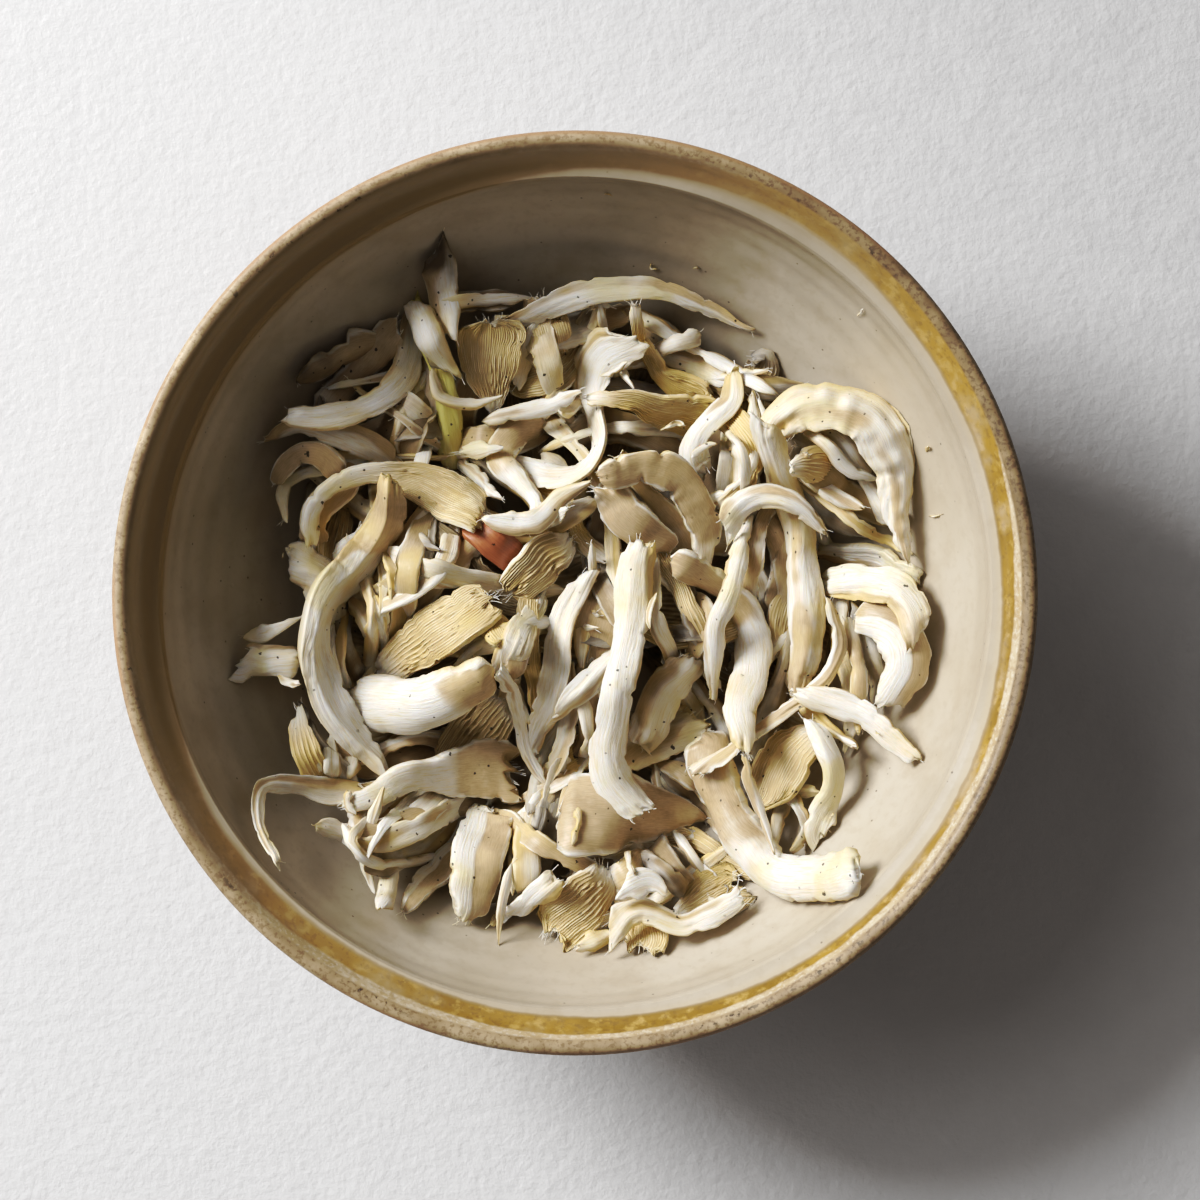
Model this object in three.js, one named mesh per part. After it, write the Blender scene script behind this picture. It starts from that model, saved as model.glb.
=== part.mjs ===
// Torn oyster mushrooms heaped in a glazed stoneware bowl.
// Millimetres, +Z up. The origin is under the middle of the foot ring, on the surface the bowl stands on.
import * as THREE from "three";

// Driving sizes of the bowl
const RIM_RADIUS = 115;
const BOWL_HEIGHT = 84;
const LIP_THICK = 3.6;
const BAND_DEPTH = 10; // from the lip down to the thrown ridge that ends the ochre band
const RIDGE_RADIUS = 104;
const FLOOR_HEIGHT = 9;
const WALL_THICK = 5.5;
const FOOT_RADIUS = 52;
const FOOT_WIDTH = 6;
const FOOT_RECESS = 3.5;
const BOWL_SIDES = 44;
const WALL_STEPS = 8;

// The inside curve is z = floor + depth * (1 - (1 - (r / ridge radius) ^ BELLY) ^ RISE)
const BELLY = 2.4;
const RISE = 0.62;

// How torn mushroom pieces are cut into rings, and how they lie on each other
const RING_STEP = 8;
const FEWEST_RINGS = 6;
const MOST_RINGS = 11;
const LAST_RING = 0.95; // share of the length, past which the piece closes on its tip
const GILL_RIDGES = 5;
const GILL_DEPTH = 0.55;
const CAP_ARCH = 0.1; // rise of a cap's middle over its width
const LEAST_GAP = 0.5;
const BEND_LIMIT = 1.5; // widest a piece may be against the radius that its route turns in
const CELL = 0.75;
const STEEPEST_TILT = 0.7;
const SETTLE_STEPS = 140;

// Colour, roughness and slot of each finish
const glaze = new THREE.MeshStandardMaterial({ color: 0xcdbfa6, roughness: 0.25, metalness: 0 });
const flesh = new THREE.MeshStandardMaterial({ color: 0xece2cc, roughness: 0.6, metalness: 0 });
const capSkin = new THREE.MeshStandardMaterial({ color: 0xb29c7f, roughness: 0.45, metalness: 0 });
const gillFlesh = new THREE.MeshStandardMaterial({ color: 0xd6c19a, roughness: 0.65, metalness: 0 });
const FINISH = { flesh_strip: flesh, stem_piece: flesh, cap_piece: capSkin, gill_piece: gillFlesh };

// Seeded draws, so that every run gives the same heap
let seed = 20240;
function draw(low, high) {
  seed = (seed + 0x6d2b79f5) | 0;
  let t = Math.imul(seed ^ (seed >>> 15), 1 | seed);
  t = (t + Math.imul(t ^ (t >>> 7), 61 | t)) ^ t;
  return low + (((t ^ (t >>> 14)) >>> 0) / 2 ** 32) * (high - low);
}

const { lerp, smoothstep, clamp } = THREE.MathUtils;

// The bowl

const ridgeHeight = BOWL_HEIGHT - BAND_DEPTH;

function insideHeight(radius) {
  const share = Math.min(1, radius / RIDGE_RADIUS) ** BELLY;
  return FLOOR_HEIGHT + (ridgeHeight - FLOOR_HEIGHT) * (1 - (1 - share) ** RISE);
}

// Points of the inside from the floor's middle out to the ridge, closer together where the wall is steep
function insideWall() {
  const points = [];
  for (let i = 0; i <= WALL_STEPS; i++) {
    const radius = RIDGE_RADIUS * Math.sin((i / WALL_STEPS) * Math.PI * 0.5);
    points.push(new THREE.Vector2(radius, insideHeight(radius)));
  }
  return points;
}

// The outside runs a wall's thickness behind the inside, from the foot up to the ridge
function outsideWall(inside) {
  const outside = [];
  inside.forEach((point, i) => {
    if (i === 0 || i === inside.length - 1) return;
    const along = inside[i + 1].clone().sub(inside[i - 1]).normalize();
    const out = new THREE.Vector2(along.y, -along.x).multiplyScalar(WALL_THICK).add(point);
    if (out.x > FOOT_RADIUS + 2) outside.push(out);
  });
  return outside;
}

function bowlProfile() {
  const inside = insideWall();
  const outside = outsideWall(inside);
  const lip = RIM_RADIUS - LIP_THICK;
  const foot = [
    new THREE.Vector2(0, FOOT_RECESS),
    new THREE.Vector2(FOOT_RADIUS - FOOT_WIDTH - 1.5, FOOT_RECESS),
    new THREE.Vector2(FOOT_RADIUS - FOOT_WIDTH, 0),
    new THREE.Vector2(FOOT_RADIUS, 0),
    new THREE.Vector2(FOOT_RADIUS + 0.8, outside[0].y - 2.5),
  ];
  const rim = [
    new THREE.Vector2(RIM_RADIUS - 3.2, ridgeHeight + 1),
    new THREE.Vector2(RIM_RADIUS - 0.6, BOWL_HEIGHT - 4),
    new THREE.Vector2(RIM_RADIUS, BOWL_HEIGHT - 2),
    new THREE.Vector2(RIM_RADIUS - 0.9, BOWL_HEIGHT - 0.4),
    new THREE.Vector2(RIM_RADIUS - LIP_THICK * 0.5, BOWL_HEIGHT),
    new THREE.Vector2(lip + 0.3, BOWL_HEIGHT - 0.7),
    new THREE.Vector2(lip - 1, BOWL_HEIGHT - 2.6),
    new THREE.Vector2(RIDGE_RADIUS + 2.6, ridgeHeight + 2.4),
    new THREE.Vector2(RIDGE_RADIUS + 0.4, ridgeHeight + 1.2),
  ];
  return {
    profile: [...foot, ...outside, ...rim, ...inside.toReversed()],
    inside: [...inside, ...rim.toReversed()],
  };
}

const { profile, inside } = bowlProfile();

function makeBowl() {
  const geometry = new THREE.LatheGeometry(profile, BOWL_SIDES).rotateX(Math.PI / 2);
  const bowl = new THREE.Mesh(geometry, glaze);
  bowl.name = "bowl";
  return bowl;
}

// The top of what lies in the bowl, as a height over each node of a square grid

const HALF = Math.ceil(RIM_RADIUS / CELL);
const ACROSS = 2 * HALF + 1;
const ground = new Float32Array(ACROSS * ACROSS);

// A flat-sided bowl comes in a little between its corners, so the wall is read slightly further out
function wallHeight(radius) {
  const reach = radius / Math.cos(Math.PI / BOWL_SIDES);
  const next = inside.findIndex((point) => point.x >= reach);
  if (next < 1) return next === 0 ? inside[0].y : BOWL_HEIGHT + RIM_RADIUS;
  const [low, high] = [inside[next - 1], inside[next]];
  return lerp(low.y, high.y, (reach - low.x) / (high.x - low.x));
}

for (let row = 0; row < ACROSS; row++) {
  for (let column = 0; column < ACROSS; column++) {
    ground[row * ACROSS + column] = wallHeight(Math.hypot(column - HALF, row - HALF) * CELL);
  }
}

// Calls visit(node, weights) for each grid node under a triangle, and for the four nodes round each point of
// its edges
function coverNodes(corners, visit) {
  const [a, b, c] = corners.map((p) => new THREE.Vector2(p.x / CELL + HALF, p.y / CELL + HALF));
  const area = (b.x - a.x) * (c.y - a.y) - (c.x - a.x) * (b.y - a.y);
  if (Math.abs(area) > 1e-6) {
    for (let row = Math.ceil(Math.min(a.y, b.y, c.y)); row <= Math.max(a.y, b.y, c.y); row++) {
      for (let column = Math.ceil(Math.min(a.x, b.x, c.x)); column <= Math.max(a.x, b.x, c.x); column++) {
        const second = ((column - a.x) * (c.y - a.y) - (c.x - a.x) * (row - a.y)) / area;
        const third = ((b.x - a.x) * (row - a.y) - (column - a.x) * (b.y - a.y)) / area;
        const first = 1 - second - third;
        if (Math.min(first, second, third) >= 0) visit(row * ACROSS + column, [first, second, third]);
      }
    }
  }
  [[a, b, 0], [b, c, 1], [c, a, 2]].forEach(([from, to, start]) => {
    const steps = Math.max(1, Math.ceil(from.distanceTo(to) * 2));
    for (let i = 0; i <= steps; i++) {
      const weights = [0, 0, 0];
      weights[start] = 1 - i / steps;
      weights[(start + 1) % 3] = i / steps;
      const row = Math.floor(lerp(from.y, to.y, i / steps));
      const node = row * ACROSS + Math.floor(lerp(from.x, to.x, i / steps));
      [node, node + 1, node + ACROSS, node + ACROSS + 1].forEach((near) => visit(near, weights));
    }
  });
}

// One torn piece

// Section of plain flesh, from the left edge over the top: across in half widths, up in thicknesses
const PLAIN_SECTION = [
  [-1, 0], [-0.78, 0.38], [0, 0.5], [0.78, 0.38],
  [1, 0], [0.78, -0.38], [0, -0.5], [-0.78, -0.38],
].map(([across, up]) => ({ across, up, gill: 0 }));

// Section of a cap: smooth skin above, gill ridges below
function gilledSection() {
  const points = [[-1, 0], [-0.62, 0.36], [0, 0.5], [0.62, 0.36], [1, 0]];
  const section = points.map(([across, up]) => ({ across, up, gill: 0 }));
  const last = 2 * GILL_RIDGES - 1;
  for (let i = 1; i <= last; i++) {
    section.push({ across: 1 - (2 * i) / (last + 1), up: -0.42, gill: i % 2 ? -1 : 1 });
  }
  return section;
}

const CAP_SECTION = gilledSection();
// Turned half round, so that the gills face up
const GILL_SECTION = CAP_SECTION.map((p) => ({ across: -p.across, up: -p.up, gill: -p.gill, turned: true }));
const SECTIONS = {
  flesh_strip: PLAIN_SECTION,
  stem_piece: PLAIN_SECTION,
  cap_piece: CAP_SECTION,
  gill_piece: GILL_SECTION,
};

// A value that passes smoothly through its start, middle and end
function alongThree([start, middle, end], share) {
  return share < 0.5
    ? lerp(start, middle, smoothstep(share, 0, 0.5))
    : lerp(middle, end, smoothstep(share, 0.5, 1));
}

// A torn start is a little narrowed, and the far end closes in a quarter round
function endRounding(share) {
  const past = Math.max(0, (share - 0.8) / 0.2);
  return lerp(0.8, 1, smoothstep(share, 0, 0.12)) * Math.sqrt(1 - past * past);
}

function bendRadius(curve, share) {
  const [from, to] = [Math.max(0, share - 0.06), Math.min(1, share + 0.06)];
  const turned = curve.getTangentAt(from).angleTo(curve.getTangentAt(to));
  return ((to - from) * curve.getLength()) / Math.max(turned, 1e-3);
}

// Rings of points along a level route: each point knows its ring and how far to the right of the route it is
function makeRings({ kind, route, wide, thick, curl, roll }) {
  const curve = new THREE.CatmullRomCurve3(route.map(([x, y]) => new THREE.Vector3(x, y, 0)));
  const section = SECTIONS[kind];
  const gilled = kind === "cap_piece" || kind === "gill_piece";
  const count = clamp(Math.round(curve.getLength() / RING_STEP), FEWEST_RINGS, MOST_RINGS);
  const points = [];
  const right = new THREE.Vector3();
  for (let ring = 0; ring < count; ring++) {
    const share = (ring / (count - 1)) * LAST_RING;
    const ahead = curve.getTangentAt(share);
    const centre = curve.getPointAt(share);
    right.set(ahead.y, -ahead.x, 0);
    centre.addScaledVector(right, draw(-0.5, 0.5));
    const turn = roll * Math.sin(share * Math.PI) + draw(-0.12, 0.12);
    const widest = Math.min(alongThree(wide, share), BEND_LIMIT * bendRadius(curve, share));
    const half = 0.5 * widest * endRounding(share) * draw(0.92, 1.08);
    const thinned = lerp(1, gilled ? 0.6 : 0.75, share) * Math.sqrt(endRounding(share));
    const deep = thick * thinned * draw(0.92, 1.08);
    const grown = smoothstep(share, 0.05, 0.45);
    const height = curl * (2 * share - 1) ** 2;
    section.forEach((p) => {
      const arch = gilled ? CAP_ARCH * 2 * half * grown * (1 - p.across ** 2) * (p.turned ? -1 : 1) : 0;
      const up = p.up * deep + p.gill * GILL_DEPTH * grown + arch;
      const across = p.across * half * Math.cos(turn) - up * Math.sin(turn);
      const point = centre.clone().addScaledVector(right, across);
      point.z = height + up * Math.cos(turn) + p.across * half * Math.sin(turn);
      points.push({ at: point, ring, across });
    });
  }
  const tip = curve.getPointAt(1);
  tip.z = curl;
  points.push({ at: tip, ring: count - 1, across: 0 });
  return { points, count, sides: section.length };
}

// A flat torn start fanned from its first point, a sleeve between the rings, and a far end closed on its tip
function ringTriangles(count, sides) {
  const triangles = [];
  const id = (ring, side) => ring * sides + (side % sides);
  for (let side = 1; side < sides - 1; side++) triangles.push([0, side + 1, side]);
  for (let ring = 0; ring < count - 1; ring++) {
    for (let side = 0; side < sides; side++) {
      triangles.push([id(ring, side), id(ring, side + 1), id(ring + 1, side)]);
      triangles.push([id(ring, side + 1), id(ring + 1, side + 1), id(ring + 1, side)]);
    }
  }
  for (let side = 0; side < sides; side++) {
    triangles.push([id(count - 1, side), id(count - 1, side + 1), count * sides]);
  }
  return triangles;
}

// Lays a piece on the heap. Each ring has a lift and a sideways tilt: they sink under weight, even out since
// flesh resists bending, and are pushed back up wherever the piece would enter what already lies there.
function settle({ points, count }, triangles) {
  const lift = new Float64Array(count);
  const tilt = new Float64Array(count);
  const lowest = new Map();
  triangles.forEach((triangle) => {
    const corners = triangle.map((i) => points[i]);
    const ring = Math.min(count - 2, ...corners.map((p) => p.ring));
    coverNodes(corners.map((p) => p.at), (node, weights) => {
      const z = corners.reduce((sum, p, i) => sum + weights[i] * p.at.z, 0);
      if (lowest.has(node) && lowest.get(node).z <= z) return;
      const part = { ring, z, near: 0, far: 0, nearTilt: 0, farTilt: 0, need: ground[node] + LEAST_GAP - z };
      corners.forEach((p, i) => {
        const side = p.ring === ring ? "near" : "far";
        part[side] += weights[i];
        part[side + "Tilt"] += weights[i] * p.across;
      });
      lowest.set(node, part);
    });
  });
  const contacts = [...lowest.values()];
  lift.fill(Math.max(...contacts.map((c) => c.need)));
  const shortfall = (c) => {
    const lifted = c.near * lift[c.ring] + c.far * lift[c.ring + 1];
    return c.need - lifted - c.nearTilt * tilt[c.ring] - c.farTilt * tilt[c.ring + 1];
  };
  const pushUp = () =>
    contacts.forEach((c) => {
      const short = shortfall(c);
      if (short <= 0) return;
      const ease = 0.05;
      const push = short / (c.near ** 2 + c.far ** 2 + ease * (c.nearTilt ** 2 + c.farTilt ** 2));
      lift[c.ring] += push * c.near;
      lift[c.ring + 1] += push * c.far;
      tilt[c.ring] = clamp(tilt[c.ring] + push * ease * c.nearTilt, -STEEPEST_TILT, STEEPEST_TILT);
      tilt[c.ring + 1] = clamp(tilt[c.ring + 1] + push * ease * c.farTilt, -STEEPEST_TILT, STEEPEST_TILT);
    });
  const beyond = (values, i) => {
    if (i < 0) return values[0] + (values[0] - values[1]) * -i;
    if (i < count) return values[i];
    return values[count - 1] + (values[count - 1] - values[count - 2]) * (i - count + 1);
  };
  for (let step = 0; step < SETTLE_STEPS; step++) {
    const sink = lerp(0.8, 0.05, step / SETTLE_STEPS);
    const before = Array.from(lift, (value) => value - sink);
    const twist = Array.from(tilt);
    for (let i = 0; i < count; i++) {
      const next = beyond(before, i - 1) + beyond(before, i + 1);
      const further = beyond(before, i - 2) + beyond(before, i + 2);
      lift[i] = lerp(before[i], (4 * next - further) / 6, 0.35);
      tilt[i] = lerp(twist[i], (beyond(twist, i - 1) + beyond(twist, i + 1)) / 2, 0.4);
    }
    pushUp();
  }
  for (let step = 0; step < SETTLE_STEPS / 4; step++) pushUp();
  const left = Math.max(0, ...contacts.map(shortfall));
  points.forEach((p) => {
    p.at.z += lift[p.ring] + tilt[p.ring] * p.across + left;
  });
}

function raiseGround(points, triangles) {
  triangles.forEach((triangle) => {
    const corners = triangle.map((i) => points[i].at);
    coverNodes(corners, (node, weights) => {
      const z = corners.reduce((sum, p, i) => sum + weights[i] * p.z, 0);
      ground[node] = Math.max(ground[node], z);
    });
  });
}

function makePiece(name, piece) {
  const rings = makeRings(piece);
  const triangles = ringTriangles(rings.count, rings.sides);
  settle(rings, triangles);
  raiseGround(rings.points, triangles);
  const geometry = new THREE.BufferGeometry().setFromPoints(rings.points.map((p) => p.at));
  geometry.setIndex(triangles.flat());
  geometry.computeVertexNormals();
  const mesh = new THREE.Mesh(geometry, FINISH[piece.kind]);
  mesh.name = name;
  return mesh;
}

// The heap, from the floor of the bowl up

// Thick whole caps fill the bottom of the bowl: a ring of them, margins outwards, and one over their middle
const RING_CAPS = 6;
function baseCaps() {
  const caps = [];
  for (let i = 0; i < RING_CAPS; i++) {
    const angle = ((i + 0.5 + draw(-0.12, 0.12)) / RING_CAPS) * 2 * Math.PI;
    const route = [16, 48, 82].map((reach, step) => {
      const bent = angle + step * draw(-0.08, 0.08);
      return [reach * Math.cos(bent), reach * Math.sin(bent)];
    });
    const kind = i % 2 ? "gill_piece" : "cap_piece";
    caps.push({ kind, route, wide: [18, 46, 70], thick: 15, curl: 0, roll: 0 });
  }
  const middle = [[-32, -6], [0, 3], [34, 6]];
  caps.push({ kind: "gill_piece", route: middle, wide: [34, 58, 48], thick: 26, curl: 0, roll: 0 });
  return caps;
}

// Each row: kind, widths at its start, middle and end, thickness, route in plan from the torn end to the far
// end, then how far the ends curl up, and the roll of its middle in radians
const LAID = [
  ["cap_piece", [6, 10, 9], 4, [[-45, 65], [-52, 65], [-63, 61], [-72, 54]], 2, 0.2],
  ["cap_piece", [9, 7, 5], 4, [[-61, 30], [-66, 36], [-73, 35], [-78, 28]], 0, 0.3],
  ["flesh_strip", [7, 9, 4], 5, [[-46, 31], [-50, 36], [-59, 40], [-72, 43], [-81, 40]], 0, 0],
  ["stem_piece", [9, 10, 11], 7, [[-71, -17], [-82, -18], [-87, -19]], 0, 0],
  ["stem_piece", [10, 12, 12], 9, [[-63, -7], [-67, 2], [-74, 9]], 0, 0],
  ["stem_piece", [7, 9, 9], 6, [[-74, 45], [-58, 46], [-45, 56], [-41, 72]], 0, 0],
  ["cap_piece", [9, 10, 9], 5, [[-28, 18], [-20, 12], [-11, 6]], 0, 0],
  ["flesh_strip", [6, 9, 7], 5, [[64, 11], [77, 10], [89, 4]], 0, 0],
  ["cap_piece", [10, 15, 13], 6, [[79, -29], [85, -19], [82, -10], [72, -6]], 0, 0.3],
  ["stem_piece", [10, 12, 11], 7, [[65, 2], [78, 3], [86, -3], [88, -11]], 0, 0],
  ["flesh_strip", [10, 11, 4], 4, [[-16, 70], [-4, 76], [11, 78], [30, 76], [47, 68]], 0, 0.3],
  ["gill_piece", [4, 6, 13], 4, [[15, 74], [18, 65], [24, 56], [33, 51]], 0, 0],
  ["gill_piece", [8, 17, 23], 4, [[-21, 48], [-22, 58], [-22, 69]], 3, 0],
  ["flesh_strip", [9, 10, 7], 4, [[-33, 32], [-34, 50], [-38, 65], [-42, 76]], 0, 0.3],
  ["gill_piece", [10, 13, 11], 5, [[-1, 14], [-8, 9], [-17, 0]], 0, 0],
  ["cap_piece", [10, 12, 10], 5, [[6, 27], [14, 19], [24, 11]], 0, -0.3],
  ["gill_piece", [6, 16, 20], 4, [[26, -84], [32, -80], [41, -74]], 2, 0],
  ["gill_piece", [12, 16, 16], 5, [[8, -72], [1, -80], [-6, -87]], 0, 0],
  ["gill_piece", [5, 11, 13], 4, [[16, -81], [18, -87], [18, -92]], 0, 0],
  ["stem_piece", [9, 10, 9], 6, [[-4, -73], [-11, -78], [-17, -84]], 0, 0],
  ["cap_piece", [5, 9, 10], 5, [[-44, -81], [-39, -76], [-29, -67]], 0, 0.4],
  ["cap_piece", [12, 17, 16], 8, [[-29, -83], [-26, -71], [-22, -57]], 0, 0.4],
  ["gill_piece", [12, 18, 16], 5, [[62, -36], [55, -42], [49, -53]], 0, 0],
  ["stem_piece", [7, 9, 10], 6, [[61, -34], [66, -46], [63, -63]], 0, 0],
  ["gill_piece", [13, 16, 12], 5, [[-18, -28], [-25, -36], [-34, -46]], 0, 0],
  ["gill_piece", [9, 17, 15], 7, [[-51, -21], [-38, -11], [-22, -1]], 0, 0.5],
  ["cap_piece", [14, 18, 13], 10, [[-60, -29], [-47, -29], [-36, -27], [-21, -20]], 0, 0.3],
  ["gill_piece", [5, 6, 17], 4, [[-69, 12], [-67, 23], [-58, 30], [-45, 30], [-34, 26], [-24, 20]], 0, 0],
  [
    "flesh_strip", [10, 9, 4], 4,
    [[-54, -51], [-64, -52], [-76, -48], [-81, -52], [-79, -61], [-74, -68]],
    0, 0,
  ],
  [
    "stem_piece", [11, 15, 4], 9,
    [[-47, 29], [-49, 20], [-57, 8], [-65, -2], [-67, -13], [-65, -25], [-58, -38], [-48, -48]],
    0, 0.2,
  ],
  ["cap_piece", [4, 10, 22], 6, [[-59, -55], [-46, -49], [-33, -46], [-16, -47]], 0, 0],
  [
    "flesh_strip", [13, 16, 4], 5,
    [[15, 66], [6, 61], [4, 50], [6, 41], [2, 33], [-8, 30], [-18, 34]],
    3, -0.3,
  ],
  ["gill_piece", [4, 7, 18], 4, [[3, 51], [17, 49], [28, 47], [36, 45]], 0, 0],
  ["cap_piece", [4, 6, 10], 5, [[-13, 16], [-10, 21], [-13, 28], [-19, 35], [-17, 42], [-8, 45]], 0, 0],
  ["flesh_strip", [10, 9, 7], 6, [[33, 30], [31, 37], [34, 44], [40, 49], [40, 57]], 3, 0],
  ["flesh_strip", [5, 11, 6], 5, [[4, 5], [-3, -6], [-4, -17], [-8, -30], [-11, -42]], 0, 0.4],
  ["flesh_strip", [5, 9, 7], 5, [[14, -13], [4, -22], [-6, -32]], 0, 0],
  ["flesh_strip", [6, 6, 4], 4, [[-20, -19], [-15, -27], [-14, -36], [-11, -44], [-7, -51]], 0, 0],
  ["flesh_strip", [15, 15, 5], 6, [[32, -34], [17, -40], [3, -48]], 0, 0.2],
  ["stem_piece", [13, 12, 7], 7, [[30, -17], [22, -27], [17, -40]], 0, 0],
  ["cap_piece", [4, 16, 30], 5, [[34, -60], [19, -57], [-4, -58]], 0, 0],
  ["cap_piece", [15, 16, 14], 9, [[71, -69], [59, -72], [49, -70], [39, -54], [33, -37]], 0, 0],
  ["cap_piece", [11, 15, 11], 6, [[34, 7], [33, 19], [27, 29], [17, 33], [6, 30]], -4, 0],
  [
    "flesh_strip", [12, 11, 9], 5,
    [[17, 13], [15, -2], [13, -15], [10, -30], [8, -42], [11, -52], [18, -57]],
    2, -0.3,
  ],
  ["stem_piece", [12, 17, 3], 8, [[51, 42], [62, 48], [74, 45], [81, 35], [83, 23], [86, 8]], 0, 0],
  ["stem_piece", [10, 13, 10], 8, [[47, 44], [52, 30], [57, 17], [59, -2], [59, -15], [57, -26]], 0, 0],
  ["flesh_strip", [10, 6, 5], 4, [[32, -46], [43, -38], [53, -31], [64, -23], [68, -12], [65, -1]], 0, 0.5],
  ["cap_piece", [10, 11, 10], 6, [[44, -40], [43, -28], [47, -16], [45, -7], [36, 3], [25, 8]], 0, 0.3],
  ["flesh_strip", [5, 9, 5], 3, [[45, 20], [40, 3], [36, -10], [36, -28]], 0, -0.6],
  ["flesh_strip", [11, 7, 4], 4, [[38, 17], [44, 24], [55, 24], [64, 16]], 0, 0],
  ["flesh_strip", [7, 10, 7], 5, [[58, -25], [72, -30], [81, -37], [87, -43]], 0, 0.3],
  ["flesh_strip", [10, 9, 5], 5, [[9, -88], [16, -81], [24, -85], [31, -84], [42, -78]], 0, 0],
];

function laidPieces() {
  return LAID.map(([kind, wide, thick, route, curl, roll]) => ({ kind, wide, thick, route, curl, roll }));
}

function makeHeap() {
  const heap = new THREE.Group();
  baseCaps().forEach((piece, i) => heap.add(makePiece(`base_cap_${i + 1}`, piece)));
  const made = {};
  laidPieces().forEach((piece) => {
    made[piece.kind] = (made[piece.kind] ?? 0) + 1;
    heap.add(makePiece(`${piece.kind}_${String(made[piece.kind]).padStart(2, "0")}`, piece));
  });
  return heap;
}

const bowlOfMushrooms = new THREE.Group();
bowlOfMushrooms.add(makeBowl(), makeHeap());

export default bowlOfMushrooms;
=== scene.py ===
import math

import bmesh
import bpy
import numpy as np
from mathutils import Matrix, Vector


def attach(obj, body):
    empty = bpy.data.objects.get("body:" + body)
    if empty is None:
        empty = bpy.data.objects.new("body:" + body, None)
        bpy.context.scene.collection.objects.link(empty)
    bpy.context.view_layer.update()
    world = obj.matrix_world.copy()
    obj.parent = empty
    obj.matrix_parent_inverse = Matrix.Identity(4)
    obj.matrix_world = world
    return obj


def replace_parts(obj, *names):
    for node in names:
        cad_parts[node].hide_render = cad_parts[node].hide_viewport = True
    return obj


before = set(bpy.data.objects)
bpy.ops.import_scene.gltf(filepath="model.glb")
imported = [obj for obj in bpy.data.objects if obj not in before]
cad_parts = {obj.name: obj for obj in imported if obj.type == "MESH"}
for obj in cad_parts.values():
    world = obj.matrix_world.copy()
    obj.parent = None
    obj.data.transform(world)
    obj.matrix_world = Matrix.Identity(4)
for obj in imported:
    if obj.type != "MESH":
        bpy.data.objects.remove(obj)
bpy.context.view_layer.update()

# The bowl is thrown stoneware on a turned foot ring. A cream glaze with iron specks fills the inside up to
# a thrown ridge. Above it the glaze pools gold and runs thin and pale up to a brown lip, worn in places.
# Towards the light the pale glaze carries a painted highlight and the lip is painted paler; away from it the
# band is painted in shade. Painted shade also darkens the cream under the ridge and, with a stain, on one
# side.

MM = 0.001
RIM_RADIUS, BOWL_HEIGHT, FLOOR_HEIGHT = 115, 84, 9
RIDGE_RADIUS, RIDGE_HEIGHT = 104, 74
BELLY, RISE, WALL = 2.4, 0.62, 5.5
FOOT_RADIUS = 52
BOWL_SIDES = 192


class Shade:
    """A shader value. Sums written with it add Math nodes, and node() adds any other node."""

    def __init__(self, tree, socket=None):
        self.tree, self.socket = tree, socket

    def node(self, kind, settings=None, sockets=None, out=0):
        made = self.tree.nodes.new(kind)
        for name, value in (settings or {}).items():
            setattr(made, name, value)
        for name, value in (sockets or {}).items():
            if isinstance(value, Shade):
                self.tree.links.new(value.socket, made.inputs[name])
            else:
                made.inputs[name].default_value = value
        return Shade(self.tree, made.outputs[out])

    def sum(self, operation, first, second):
        return self.node("ShaderNodeMath", {"operation": operation}, {0: first, 1: second})

    def __add__(self, other):
        return self.sum("ADD", self, other)

    def __sub__(self, other):
        return self.sum("SUBTRACT", self, other)

    def __rsub__(self, other):
        return self.sum("SUBTRACT", other, self)

    def __mul__(self, other):
        return self.sum("MULTIPLY", self, other)

    __radd__ = __add__

    def step(self, low, high):
        """Rises smoothly from 0 at low to 1 at high."""
        sockets = {"Value": self, "From Min": low, "From Max": high}
        return self.node("ShaderNodeMapRange", {"interpolation_type": "SMOOTHSTEP"}, sockets)

    def mix(self, none, full):
        """A colour between two, by this value."""
        none, full = [c if isinstance(c, Shade) else (*c, 1) for c in (none, full)]
        return self.node("ShaderNodeMix", {"data_type": "RGBA"}, {0: self, 6: none, 7: full}, out=2)

    def noise(self, scale, detail=3, stretch=(1, 1, 1), roughness=0.55):
        """Cloudy noise from 0 to 1 on these coordinates."""
        place = self.node("ShaderNodeVectorMath", {"operation": "MULTIPLY"}, {0: self, 1: stretch})
        sockets = {"Vector": place, "Scale": scale, "Detail": detail, "Roughness": roughness}
        return self.node("ShaderNodeTexNoise", None, sockets)

    def spots(self, scale):
        """Distance to the nearest of many scattered points."""
        return self.node("ShaderNodeTexVoronoi", None, {"Vector": self, "Scale": scale})

    def bump(self, strength, deep):
        """A normal that leans as if this height stood out that deep."""
        return self.node("ShaderNodeBump", None, {"Strength": strength, "Distance": deep, "Height": self})


def new_finish(name):
    """A material with its Principled shader, and a Shade to start sums from."""
    made = bpy.data.materials.new(name)
    made.use_nodes = True
    return made, made.node_tree.nodes["Principled BSDF"], Shade(made.node_tree)


def feed(shader, socket, value):
    """Links a value to an input of the shader."""
    shader.id_data.links.new(value.socket, shader.inputs[socket])


def kept(shade, name):
    """A number kept on each vertex of the piece."""
    return shade.node("ShaderNodeAttribute", {"attribute_name": name}, out=2)


def curve_at(rows, x):
    """Rows read between their numbers, on a smooth line through them."""
    i = np.clip(np.floor(x).astype(int), 0, len(rows) - 2)
    t = (x - i).reshape((-1,) + (1,) * (rows.ndim - 1))
    a, b, c, d = rows[np.maximum(i - 1, 0)], rows[i], rows[i + 1], rows[np.minimum(i + 2, len(rows) - 1)]
    return b + 0.5 * t * (c - a + t * (2 * a - 5 * b + 4 * c - d + t * (3 * (b - c) + d - a)))


def smooth_through(points, steps=8):
    """Points on a smooth line through the given ones."""
    p = np.array(points, float)
    return curve_at(p, np.linspace(0, len(p) - 1, (len(p) - 1) * steps + 1))


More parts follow.
